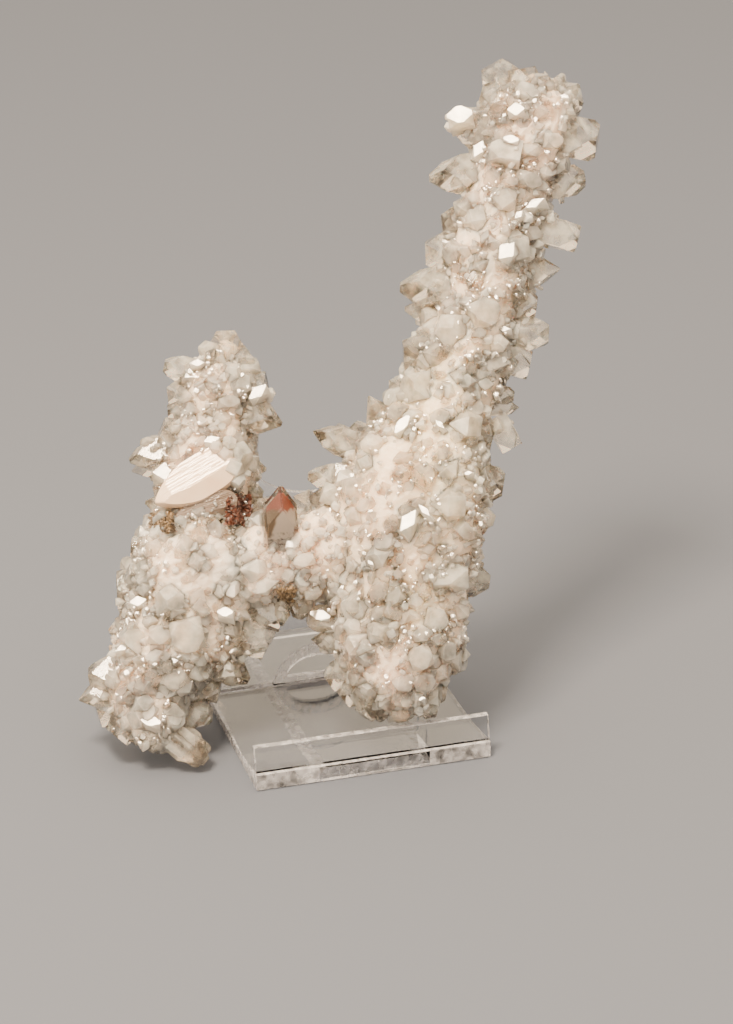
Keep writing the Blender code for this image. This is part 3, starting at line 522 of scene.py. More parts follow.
def new_piece(name: str, points: np.ndarray, faces: list[np.ndarray], finishes: list[Finish]) -> Piece:
    """A mesh object at the origin from whole arrays.

    Args:
        name: the piece's name.
        points: corners in metres.
        faces: arrays of corner numbers, with three or four to a row.
        finishes: the material of each array of faces, or one for them all.

    Returns:
        The object, linked to the scene.
    """
    mesh = bpy.data.meshes.new(name)
    lengths = np.concatenate([np.full(len(rows), rows.shape[1]) for rows in faces])
    slots = np.concatenate([np.full(len(rows), slot % len(finishes)) for slot, rows in enumerate(faces)])
    mesh.vertices.add(len(points))
    mesh.vertices.foreach_set("co", np.ascontiguousarray(points, np.float32).ravel())
    mesh.loops.add(int(lengths.sum()))
    mesh.loops.foreach_set("vertex_index", np.concatenate([rows.ravel() for rows in faces]).astype(np.int32))
    mesh.polygons.add(len(lengths))
    mesh.polygons.foreach_set("loop_start", (np.cumsum(lengths) - lengths).astype(np.int32))
    mesh.polygons.foreach_set("material_index", slots.astype(np.int32))
    mesh.update(calc_edges=True)
    mesh.validate()
    for finish in finishes:
        mesh.materials.append(finish)
    mesh.shade_flat()
    piece = bpy.data.objects.new(name, mesh)
    bpy.context.scene.collection.objects.link(piece)
    return piece


def give_number(piece: Piece, name: str, values: np.ndarray) -> None:
    """Stores one number for each corner of the piece's mesh, for its material to read."""
    layer = piece.data.attributes.new(name, "FLOAT", "POINT")
    layer.data.foreach_set("value", np.ascontiguousarray(values, np.float32))


def give_colour(piece: Piece, values: np.ndarray) -> None:
    """Stores one growth colour for each corner of the piece's mesh."""
    layer = piece.data.color_attributes.new("growth_colour", "FLOAT_COLOR", "POINT")
    rgba = np.concatenate([values, np.ones((len(values), 1))], axis=1)
    layer.data.foreach_set("color", np.ascontiguousarray(rgba, np.float32).ravel())


def ripples(points: np.ndarray, wavelength: float, seed: int, waves: int = 14) -> np.ndarray:
    """Smooth noise of about -1 to 1: twice the mean of sine waves in random directions.

    Each wave is between the wavelength over 0.6 and the wavelength over 1.8 long.
    """
    chance = np.random.default_rng(seed)
    ways = unit(chance.normal(0, 1, (waves, 3))) * chance.uniform(0.6, 1.8, (waves, 1))
    phases = chance.uniform(0, math.tau, waves)
    return np.sin(points @ ways.T * (math.tau / wavelength) + phases).mean(axis=1) * 2


class Zone(Enum):
    """The tints that the crust takes from place to place."""

    PLAIN = (0.98, 0.83, 0.68)
    CREAM = (0.98, 0.85, 0.62)
    PINK = (0.98, 0.77, 0.65)
    GREY = (0.90, 0.82, 0.74)


# Where each tint lies on the front: x, z and reach in millimetres
TINTED = (
    (16.0, 104.0, 14.0, Zone.CREAM),
    (19.0, 84.0, 17.0, Zone.CREAM),
    (14.0, 46.0, 10.0, Zone.CREAM),
    (-24.0, 57.0, 9.0, Zone.PINK),
    (42.0, 177.0, 18.0, Zone.PINK),
    (-64.0, 18.0, 13.0, Zone.PINK),
    (8.0, 23.0, 12.0, Zone.PINK),
    (-50.0, 88.0, 9.0, Zone.PINK),
    (-47.0, 53.0, 16.0, Zone.GREY),
    (-54.0, 4.0, 9.0, Zone.GREY),
    (-12.0, 32.0, 8.0, Zone.GREY),
    (30.0, 45.0, 10.0, Zone.GREY),
)
TINT_STRENGTH = 0.9


def growth_colour(points: np.ndarray, shade: np.ndarray) -> np.ndarray:
    """The crust's colour: each zone's tint fades out from its middle as a bell curve over the plain one.

    Args:
        points: places in the specimen's frame in millimetres.
        shade: a factor near one for each place.

    Returns:
        One colour for each place.
    """
    colour = np.tile(np.array(Zone.PLAIN.value), (len(points), 1))
    for x, z, reach, zone in TINTED:
        bell = np.exp(-((points[:, 0] - x) ** 2 + (points[:, 2] - z) ** 2) / reach**2)
        share = bell[:, None] * TINT_STRENGTH
        colour = colour * (1 - share) + np.array(zone.value) * share
    return np.clip(colour * shade[:, None], 0, 1)


class Recipe:
    """A material under construction: a Principled shader and the nodes that feed it."""

    def __init__(self, name: str, **sockets: float | tuple) -> None:
        """Starts the material with the shader alone, and sets its sockets, whose names have _ for a space."""
        self.made = bpy.data.materials.new(name)
        self.made.use_nodes = True
        self.nodes = self.made.node_tree.nodes
        self.shader = self.nodes["Principled BSDF"]
        self.where = self.nodes.new("ShaderNodeTexCoord").outputs["Object"]
        for socket, value in sockets.items():
            self.shader.inputs[socket.replace("_", " ")].default_value = value

    def milky(self) -> None:
        """Lets light spread under the skin."""
        for socket, value in (("Weight", 1.0), ("Radius", MILKY_SPREAD), ("Scale", 1.0)):
            self.shader.inputs["Subsurface " + socket].default_value = value

    def link(self, source: Socket, target: Socket) -> None:
        """Joins two sockets."""
        self.made.node_tree.links.new(source, target)

    def feed(self, source: Socket, socket: str) -> None:
        """Joins a socket to one of the shader's."""
        self.link(source, self.shader.inputs[socket])

    def read(self, attribute: str, output: str) -> Socket:
        """An attribute of the mesh, as its Fac or its Color."""
        node = self.nodes.new("ShaderNodeAttribute")
        node.attribute_name = attribute
        return node.outputs[output]

    def noise(self, scale: float, detail: float = 3.0, stretch: Point = (1, 1, 1)) -> Socket:
        """Cloudy noise with features of about 1 / scale metres, narrowed by stretch on each axis."""
        mapping = self.nodes.new("ShaderNodeMapping")
        mapping.inputs["Scale"].default_value = stretch
        node = self.nodes.new("ShaderNodeTexNoise")
        node.inputs["Scale"].default_value = scale
        node.inputs["Detail"].default_value = detail
        self.link(self.where, mapping.inputs["Vector"])
        self.link(mapping.outputs["Vector"], node.inputs["Vector"])
        return node.outputs["Fac"]

    def clouds(self, scale: float, low: float, high: float) -> Socket:
        """Cloudy noise between low and high, which it reaches where the noise itself is at 0.3 and at 0.7."""
        node = self.nodes.new("ShaderNodeMapRange")
        self.link(self.noise(scale), node.inputs["Value"])
        for name, value in (("From Min", 0.3), ("From Max", 0.7), ("To Min", low), ("To Max", high)):
            node.inputs[name].default_value = value
        return node.outputs["Result"]

    def vary(self, socket: str, scale: float, low: float, high: float) -> None:
        """Lets clouds feed one of the shader's sockets."""
        self.feed(self.clouds(scale, low, high), socket)

    def sum(self, first: Socket, second: Socket) -> Socket:
        """Two numbers added and held between zero and one."""
        node = self.nodes.new("ShaderNodeMath")
        node.operation = "ADD"
        node.use_clamp = True
        self.link(first, node.inputs[0])
        self.link(second, node.inputs[1])
        return node.outputs["Value"]

    def mixed(self, share: Socket, first: Socket | Colour, second: Socket | Colour) -> Socket:
        """Two colours mixed by a share."""
        node = self.nodes.new("ShaderNodeMix")
        node.data_type = "RGBA"
        self.link(share, node.inputs["Factor"])
        # The node's sockets for colours follow those for numbers and vectors, which have the same names
        for value, socket in zip((first, second), node.inputs[6:8]):
            if isinstance(value, tuple):
                socket.default_value = (*value, 1.0)
            else:
                self.link(value, socket)
        return node.outputs[2]

    def relief(
        self, scale: float, depth: float, strength: float, detail: float = 3.0, stretch: Point = (1, 1, 1)
    ) -> None:
        """Fine relief of the given depth in metres, from noise."""
        node = self.nodes.new("ShaderNodeBump")
        node.inputs["Strength"].default_value = strength
        node.inputs["Distance"].default_value = depth
        self.link(self.noise(scale, detail, stretch), node.inputs["Height"])
        self.feed(node.outputs["Normal"], "Normal")

    def absorb(self, colour: Colour, density: float) -> None:
        """Plain absorption inside the solid."""
        node = self.nodes.new("ShaderNodeVolumeAbsorption")
        node.inputs["Color"].default_value = (*colour, 1.0)
        node.inputs["Density"].default_value = density
        self.link(node.outputs["Volume"], self.nodes["Material Output"].inputs["Volume"])


@dataclass(frozen=True)
class CrystalFinish:
    """Apophyllite: milky at the root and see-through at the tip, by the mesh's own clearness."""

    ior: float = 1.535
    cloud: float = 0.15

    def build(self) -> Finish:
        """The material, with a bright gloss, clouds of milk and faint growth lines."""
        recipe = Recipe("apophyllite", IOR=self.ior)
        recipe.milky()
        recipe.feed(recipe.read("growth_colour", "Color"), "Base Color")
        clouds = recipe.clouds(scale=260.0, low=-self.cloud, high=self.cloud)
        recipe.feed(recipe.sum(recipe.read("clear", "Fac"), clouds), "Transmission Weight")
        recipe.vary("Roughness", scale=700.0, low=0.02, high=0.09)
        recipe.relief(scale=2600.0, depth=0.00008, strength=0.25, detail=2.0, stretch=(1.0, 1.0, 0.25))
        return recipe.made


@dataclass(frozen=True)
class MilkFinish:
    """The cloudy growth under the crystals, with deeper tinted clouds."""

    deep: Colour = (0.74, 0.55, 0.41)

    def build(self) -> Finish:
        """The material, with a low gloss."""
        recipe = Recipe("milky_growth", IOR=1.5, Roughness=0.35)
        recipe.milky()
        clouds = recipe.clouds(scale=300.0, low=0.2, high=0.7)
        recipe.feed(recipe.mixed(clouds, recipe.read("growth_colour", "Color"), self.deep), "Base Color")
        recipe.relief(scale=900.0, depth=0.0006, strength=0.8, detail=4.0)
        return recipe.made


@dataclass(frozen=True)
class HeulanditeFinish:
    """Peach heulandite with a pearly skin and cloudy colour."""

    name: str = "heulandite"
    pale: Colour = (0.86, 0.67, 0.50)
    deep: Colour = (0.80, 0.56, 0.38)
    transmission: float = 0.12

    def build(self) -> Finish:
        """The material, its two colours mixed by clouds."""
        recipe = Recipe(
            self.name, IOR=1.5, Transmission_Weight=self.transmission, Coat_Weight=0.4, Coat_Roughness=0.08
        )
        clouds = recipe.clouds(scale=180.0, low=0.0, high=1.0)
        recipe.feed(recipe.mixed(clouds, self.pale, self.deep), "Base Color")
        recipe.vary("Roughness", scale=500.0, low=0.05, high=0.2)
        recipe.relief(scale=1500.0, depth=0.00006, strength=0.25)
        return recipe.made


@dataclass(frozen=True)
class ClearCrystalFinish:
    """A clear, slightly smoky crystal."""

    smoke: Colour = (0.80, 0.80, 0.78)

    def build(self) -> Finish:
        """The material: plain transmission, with absorption inside."""
        recipe = Recipe(
            "clear_apophyllite", IOR=1.535, Transmission_Weight=1.0, Base_Color=(0.98, 0.97, 0.96, 1.0)
        )
        recipe.vary("Roughness", scale=600.0, low=0.0, high=0.04)
        recipe.relief(scale=1800.0, depth=0.0001, strength=0.3, detail=2.0, stretch=(1.0, 1.0, 0.3))
        recipe.absorb(self.smoke, density=12.0)
        return recipe.made


@dataclass(frozen=True)
class RustFinish:
    """Rust brown growth inside the stained crystal, fading to speckled grey below."""

    rust: Colour = (0.16, 0.022, 0.004)
    ochre: Colour = (0.08, 0.045, 0.014)
    grey: Colour = (0.34, 0.29, 0.25)
    speck: Colour = (0.03, 0.02, 0.015)

    def build(self) -> Finish:
        """The material, coloured by the mesh, with fine grain."""
        recipe = Recipe("rust_stain", IOR=1.5, Roughness=0.45)
        recipe.feed(recipe.read("growth_colour", "Color"), "Base Color")
        recipe.relief(scale=1800.0, depth=0.0002, strength=0.6, detail=4.0)
        return recipe.made


@dataclass(frozen=True)
class GrainFinish:
    """Small brown grains, each with its own shade."""

    def build(self) -> Finish:
        """The material: dull, with the grain's own colour."""
        recipe = Recipe("brown_grains", IOR=1.5)
        recipe.feed(recipe.read("growth_colour", "Color"), "Base Color")
        recipe.vary("Roughness", scale=900.0, low=0.2, high=0.6)
        recipe.relief(scale=4000.0, depth=0.0001, strength=0.6)
        return recipe.made


@dataclass(frozen=True)
class PlasticFinish:
    """Clear moulded plastic, with the faint waves and scuffs of a cheap moulding."""

    tint: Colour = (0.86, 0.88, 0.90)

    def build(self) -> Finish:
        """The material: plain transmission with absorption, polished."""
        recipe = Recipe(
            "clear_plastic", IOR=1.49, Transmission_Weight=1.0, Base_Color=(0.985, 0.985, 0.99, 1.0)
        )
        recipe.vary("Roughness", scale=90.0, low=0.0, high=0.035)
        recipe.relief(scale=60.0, depth=0.0002, strength=0.12, detail=2.0)
        recipe.absorb(self.tint, density=6.0)
        return recipe.made


@dataclass(frozen=True)
class EdgeHighlightFinish:
    """The easel's narrow edges and thick ends, given a pale frosted skin that paints the bright lines of
    light clear edges catch: a painted highlight.
    """

    def build(self) -> Finish:
        """The material: the same plastic with a frosted, mottled, pale skin, which is painted highlight."""
        # Pale base colour and frosting on the edges: a painted highlight for the light that clear edges catch
        recipe = Recipe("painted_edge_highlight", IOR=1.49, Base_Color=(0.90, 0.89, 0.95, 1.0))
        recipe.vary("Transmission Weight", scale=420.0, low=0.55, high=0.95)
        recipe.vary("Roughness", scale=260.0, low=0.12, high=0.35)
        recipe.relief(scale=330.0, depth=0.0004, strength=0.5)
        return recipe.made


def calmness(points: np.ndarray) -> np.ndarray:
    """One in the middle of a place of CALM, fading out as a bell curve of the distance over its reach."""
    calm = np.zeros(len(points))
    for x, z, reach in CALM:
        calm = np.maximum(calm, np.exp(-((points[:, 0] - x) ** 2 + (points[:, 2] - z) ** 2) / reach**2))
    return calm


def sizes(chance: Chance, smallest: float, largest: float, count: int) -> np.ndarray:
    """Random half widths, even on a logarithmic scale from smallest to largest."""
    return smallest * (largest / smallest) ** chance.uniform(0, 1, count)


def leaning(radial: np.ndarray, cut: Section, share: np.ndarray | float, wobble: np.ndarray) -> np.ndarray:
    """Ways out of a core, as unit vectors of radial + END_LEAN (2 share - 1)^5 growth + wobble."""
    along = np.asarray((2 * share - 1) ** 5)[..., None]
    return unit(radial + END_LEAN * along * cut.growth + wobble)


@dataclass(frozen=True)
class Druse:
    """A crust of crystals of one size range, spread evenly over a line of growth.

    Sizes are half widths in millimetres. Seats lie from sink under the core's skin to rise above it, as
    shares of its radius. A crystal stands out by stand times its half width, less by the share sunk in the
    smooth places, where a fine crust has none. Its root lies root times its half width and root_depth
    millimetres under its seat.
    """

    count: int
    smallest: float
    largest: float
    tilt: float
    clear: float
    seed: int
    rise: float = 0.06
    sink: float = 0.03
    swing: float = 0.8
    stand: Range = (0.25, 1.2)
    sunk: float = 0.8
    root: float = 1.2
    root_depth: float = 0.6
    cuts: tuple[float, ...] = (0.0, 0.2, 0.5, 0.7, 0.85, 0.95)
    clear_spread: float = 0.12
    clear_limits: Range = (0.05, 0.95)
    depth: Range = (0.55, 1.0)
    fine: float = 1.0
    bare: Range = (0.6, 1.1)

    def over(self, growth: Growth, low: float = 0.0, high: float = 1.0) -> Crystals:
        """Crystals on a golden-angle spiral, each leaning out of the core at random.

        Args:
            growth: the line that they grow on.
            low: the share of the line where they start.
            high: the share where they end.

        Returns:
            The crystals.
        """
        chance = np.random.default_rng(self.seed)
        index = np.arange(self.count)
        share = growth.even_shares((index + chance.uniform(0, 1, self.count)) / self.count)
        angle = index * GOLDEN_TURN + chance.uniform(-self.swing, self.swing, self.count)
        seat, radial, cut = growth.surface(share, angle)
        seat = seat + radial * (cut.radius * chance.uniform(-self.sink, self.rise, self.count))[:, None]
        aim = leaning(radial, cut, share, chance.normal(0, self.tilt, (self.count, 3)))
        half_width = sizes(chance, self.smallest, self.largest, self.count)
        proud = half_width * chance.uniform(*self.stand, self.count) * (1 - self.sunk * calmness(seat))
        made = Crystals(
            seat + aim * proud[:, None],
            seat - aim * (self.root * half_width + self.root_depth)[:, None],
            half_width,
            chance.choice(self.cuts, self.count),
            chance.uniform(0, math.pi / 2, self.count),
            np.clip(self.clear + chance.normal(0, self.clear_spread, self.count), *self.clear_limits),
            chance.uniform(*self.depth, self.count),
        )
        keep = (share >= low) & (share <= high)
        for x, z, reach in CALM if self.smallest < self.fine else ():
            keep &= np.hypot(seat[:, 0] - x, seat[:, 2] - z) > reach * chance.uniform(*self.bare, self.count)
        return made.kept(keep)


@dataclass(frozen=True)
class Riders:
    """Small crystals that grow on the side faces of larger ones, mostly along them.

    A rider's seat is at the share up of the way to its host's shoulder, and to either side by up to the share
    beside of the half width. The shoulder lies under the tip by shoulder half widths times the slope.
    """

    count: int
    seed: int
    smallest: float = 0.5
    largest: float = 1.4
    shoulder: float = 1.6
    least_shoulder: float = 0.35
    up: Range = (0.45, 1.0)
    beside: float = 0.85
    along: Range = (0.2, 1.0)
    outward: float = 0.6
    tilt: float = 0.2
    stand: Range = (0.8, 2.0)
    root: float = 1.3
    cuts: tuple[float, ...] = (0.0, 0.2, 0.5, 0.7, 0.9)
    parallel_share: float = 0.6
    clear: float = 0.8
    clear_spread: float = 0.12
    clear_limits: Range = (0.05, 0.95)
    depth: Range = (0.6, 1.0)

    def on(self, hosts: Crystals) -> Crystals:
        """The riders of a batch of larger crystals, each on one of its host's four faces."""
        chance = np.random.default_rng(self.seed)
        hosts = hosts.kept(hosts.tip[:, 2] > BARE_BELOW)
        pick = chance.integers(0, len(hosts.half_width), self.count)
        axis = unit(hosts.tip - hosts.root)[pick]
        length = np.linalg.norm(hosts.tip - hosts.root, axis=1)[pick]
        wide = hosts.half_width[pick]
        sideways = unit(np.cross(axis, ASKEW))
        face = (hosts.twist[pick] + chance.integers(0, 4, self.count) * math.pi / 2)[:, None]
        out = np.cos(face) * sideways + np.sin(face) * np.cross(axis, sideways)
        shoulder = np.clip(length - self.shoulder * wide * PYRAMID_SLOPE, self.least_shoulder * length, None)
        up = shoulder * chance.uniform(*self.up, self.count)
        seat = hosts.root[pick] + axis * up[:, None] + out * wide[:, None]
        aside = wide * chance.uniform(-self.beside, self.beside, self.count)
        seat = seat + np.cross(axis, out) * aside[:, None]
        along = axis * chance.uniform(*self.along, self.count)[:, None]
        aim = unit(along + out * self.outward + chance.normal(0, self.tilt, (self.count, 3)))
        half_width = sizes(chance, self.smallest, self.largest, self.count)
        proud = half_width * chance.uniform(*self.stand, self.count)
        cut = chance.choice(self.cuts, self.count)
        parallel = chance.uniform(0, 1, self.count) < self.parallel_share
        twist = np.where(parallel, hosts.twist[pick], chance.uniform(0, math.pi / 2, self.count))
        clear = hosts.clear[pick] * self.clear + chance.normal(0, self.clear_spread, self.count)
        return Crystals(
            seat + aim * proud[:, None],
            seat - aim * (self.root * half_width)[:, None],
            half_width,
            cut,
            twist,
            np.clip(clear, *self.clear_limits),
            chance.uniform(*self.depth, self.count),
        )


def facing_viewer(growth: Growth, facets: tuple[tuple[float, ...], ...], clear: float) -> Crystals:
    """Flat-topped crystals on the front of a core at a given x and z, which all look at FACET_POINT."""
    above, below = 3.6, 6.0
    x, z, half_width, cut, twist, depth, forward = (np.array(column, float) for column in zip(*facets))
    seat = np.stack([x, growth.front_depth(x, z) - forward, z], axis=1)
    aim = unit(np.array(FACET_POINT) - seat)
    twist, clearness = np.radians(twist), np.full(len(facets), clear)
    return Crystals(seat + aim * above, seat - aim * below, half_width, cut, twist, clearness, depth)


@dataclass(frozen=True)
class Glints:
    """Clusters of tiny crystals on the front whose flat ends all look nearly one way, so that they sparkle.

    The clusters lie where a slow ripple of the place, blurred at random, is above the threshold.
    """

    count: int
    seed: int
    smallest: float = 0.22
    largest: float = 0.8
    spread: float = 1.25
    wander: float = 0.045
    lift: Range = (0.8, 3.2)
    stand: float = 0.8
    root: float = 1.5
    cuts: Range = (0.4, 0.95)
    clear: float = 0.6
    depth: Range = (0.35, 1.0)
    cluster: float = 11.0
    blur: float = 0.2
    threshold: float = 0.1
    bare: float = 0.8

    def over(self, growth: Growth) -> Crystals:
        """The tiny crystals on a line of growth."""
        chance = np.random.default_rng(self.seed)
        share = growth.even_shares((np.arange(self.count) + 0.5) / self.count)
        angle = math.pi / 2 + chance.uniform(-self.spread, self.spread, self.count)
        seat, radial, _ = growth.surface(share, angle)
        seat = seat + radial * chance.uniform(*self.lift, self.count)[:, None]
        aim = unit(unit(np.array(FACET_POINT) - seat) + chance.normal(0, self.wander, (self.count, 3)))
        half_width = sizes(chance, self.smallest, self.largest, self.count)
        made = Crystals(
            seat + aim * (self.stand * half_width)[:, None],
            seat - aim * (self.root + half_width)[:, None],
            half_width,
            chance.uniform(*self.cuts, self.count),
            chance.uniform(0, math.pi, self.count),
            np.full(self.count, self.clear),
            chance.uniform(*self.depth, self.count),
        )
        blurred = ripples(seat, self.cluster, self.seed + 1) + chance.normal(0, self.blur, self.count)
        keep = blurred > self.threshold
        for x, z, reach in CALM:
            keep &= np.hypot(seat[:, 0] - x, seat[:, 2] - z) > reach * self.bare
        return made.kept(keep)


@dataclass(frozen=True)
class Scatter:
    """The larger crystals between those of the outline, on a golden-angle spiral.

    None is nearer to the outline than outline_share of the core's radius, and behind only every other one
    is made.
    """

    count: int
    seed: int
    outline_share: float = 0.88
    across: Range = (0.2, 0.8)
    swing: float = 0.25
    tilt: float = 0.3
    half_width: Range = (2.0, 4.6)
    stand: Range = (0.75, 1.25)
    side_loss: float = 0.4
    root_depth: float = 2.5
    cuts: tuple[float, ...] = (0.0, 0.25, 0.5, 0.7, 0.85, 0.95)
    clear: float = 0.7

    def over(self, growth: Growth) -> Crystals:
        """The crystals on a line of growth, lower towards its sides."""
        chance = np.random.default_rng(self.seed)
        rows = []
        for index in range(self.count):
            share = float(growth.even_shares(np.array((index + chance.uniform(*self.across)) / self.count)))
            angle = index * GOLDEN_TURN + chance.uniform(-self.swing, self.swing)
            hidden = math.sin(angle) < 0 and index % 2
            if hidden or abs(math.cos(angle)) > self.outline_share:
                continue
            seat, radial, cut = growth.surface(np.array(share), np.array(angle))
            aim = leaning(radial, cut, share, chance.normal(0, self.tilt, 3))
            half_width = float(chance.uniform(*self.half_width))
            lower = 1 - self.side_loss * math.cos(angle) ** 2
            proud = half_width * float(chance.uniform(*self.stand)) * lower
            cut_back = float(chance.choice(self.cuts))
            twist = float(chance.uniform(0, 90))
            root = seat - aim * (half_width + self.root_depth)
            rows.append((seat + aim * proud, root, half_width, cut_back, twist))
        return Crystals.placed(rows, self.clear)


@dataclass(frozen=True)
class Tube:
    """The cloudy core of a line of growth: rings of its lumpy radius, roughened, with a point at each end.

    It reaches proud millimetres past the line's own skin.
    """

    growth: Growth
    low: float
    high: float
    rows: int
    columns: int = 72
    proud: float = 0.3

    def points(self) -> np.ndarray:
        """Points in millimetres, ring after ring, then the two poles half a radius past the ends."""
        share, angle = np.meshgrid(
            np.linspace(self.low, self.high, self.rows),
            np.arange(self.columns) * math.tau / self.columns,
            indexing="ij",
        )
        points, radial, _ = self.growth.surface(share, angle)
        flat = points.reshape(-1, 3)
        rough = sum(
            height * ripples(flat, wavelength, self.growth.seed + number)
            for number, (height, wavelength) in enumerate(SKIN_RIPPLES)
        )
        points = points + radial * (rough.reshape(share.shape) + self.proud)[..., None]
        ends = self.growth.section(np.array([self.low, self.high]))
        poles = ends.centre + ends.growth * ends.radius[:, None] * np.array([[-0.5], [0.5]])
        return np.vstack([points.reshape(-1, 3), poles])

    def faces(self) -> list[np.ndarray]:
        """The quads between the rings and the triangles of both ends."""
        return [grid_quads(self.rows, self.columns), pole_fans(self.rows, self.columns)]


@dataclass
class Branch:
    """One stalactite of the specimen: its cloudy core, its half of the bridge, and every crystal on them."""

    name: str
    node: str
    growth: Growth
    bridge: Growth
    bridge_shares: Range
    outline: tuple[Placed, ...]
    facets: tuple[tuple[float, ...], ...]
    scatter: Scatter
    crusts: tuple[Druse, ...]
    bridge_crusts: tuple[Druse, ...]
    riders: Riders
    glints: Glints
    extras: tuple[Placed, ...] = ()
    core_rows: int = 150
    bridge_rows: int = 50
    core_shade: float = 0.9
    outline_clear: float = 0.97
    facets_clear: float = 0.5
    extras_clear: float = 0.55
    shades: Range = (0.93, 1.05)
    pale_share: float = 0.85
    clear_tint: Colour = (0.985, 0.90, 0.79)

    def large_crystals(self) -> Crystals:
        """The outline's crystals, the bright ones in front and those between them."""
        outline = Crystals.placed(self.outline, self.outline_clear)
        bright = facing_viewer(self.growth, self.facets, self.facets_clear)
        return Crystals.joined([outline, bright, self.scatter.over(self.growth)])

    def crust_crystals(self, hosts: Crystals) -> tuple[Crystals, Crystals]:
        """The coarse crust and the fine one with its glints and the riders on the large crystals."""
        low, high = self.bridge_shares
        coarse, fine = (
            [crust.over(self.growth), bridge_crust.over(self.bridge, low, high)]
            for crust, bridge_crust in zip(self.crusts, self.bridge_crusts)
        )
        if self.extras:
            coarse.append(Crystals.placed(self.extras, self.extras_clear))
        fine.append(self.riders.on(hosts))
        fine.append(self.glints.over(self.growth))
        return Crystals.joined(coarse), Crystals.joined(fine)

    def colours(self, points: np.ndarray, clearness: np.ndarray, seed: int) -> np.ndarray:
        """The growth colour of each corner, paler where it is clear, every crystal a shade off the next."""
        corners = LEVELS * SIDES
        shade = np.repeat(np.random.default_rng(seed).uniform(*self.shades, len(points) // corners), corners)
        share = self.pale_share * clearness[:, None]
        return growth_colour(points, shade) * (1 - share) + np.array(self.clear_tint) * share

    def build(self, crystal: Finish, milk: Finish) -> list[Piece]:
        """Makes the large crystals with the core as one piece and each crust of small ones as another.

        Args:
            crystal: the finish of the crystals.
            milk: the finish of the core.

        Returns:
            The three pieces.
        """
        large = self.large_crystals()
        corners, clearness = large.shells()
        points, faces = [corners], [crystal_quads(len(large.half_width))]
        core = Tube(self.growth, 0.0, 1.0, self.core_rows)
        for tube in (core, Tube(self.bridge, *self.bridge_shares, self.bridge_rows)):
            start = sum(len(part) for part in points)
            points.append(tube.points())
            faces += [rows + start for rows in tube.faces()]
        milky = np.vstack(points[1:])
        finishes = [crystal] + [milk] * (len(faces) - 1)
        body = new_piece(self.name, POSE.world(np.vstack([corners, milky])), faces, finishes)
        core_colour = growth_colour(milky, np.full(len(milky), self.core_shade))
        give_colour(body, np.vstack([self.colours(corners, clearness, 1), core_colour]))
        give_number(body, "clear", np.concatenate([clearness, np.zeros(len(milky))]))
        pieces = [body]
        for crystals, ending in zip(self.crust_crystals(large), ("_druse", "_sparkle")):
            corners, clearness = crystals.shells()
            quads = crystal_quads(len(crystals.half_width))
            crust = new_piece(self.name + ending, POSE.world(corners), [quads], [crystal])
            give_colour(crust, self.colours(corners, clearness, 2))
            give_number(crust, "clear", clearness)
            pieces.append(crust)
        return pieces

    def dress(self, pieces: list[Piece]) -> None:
        """Rides the pieces on the body in place of the solid."""
        for piece in pieces:
            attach(piece, BODY)
        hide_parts(self.node)


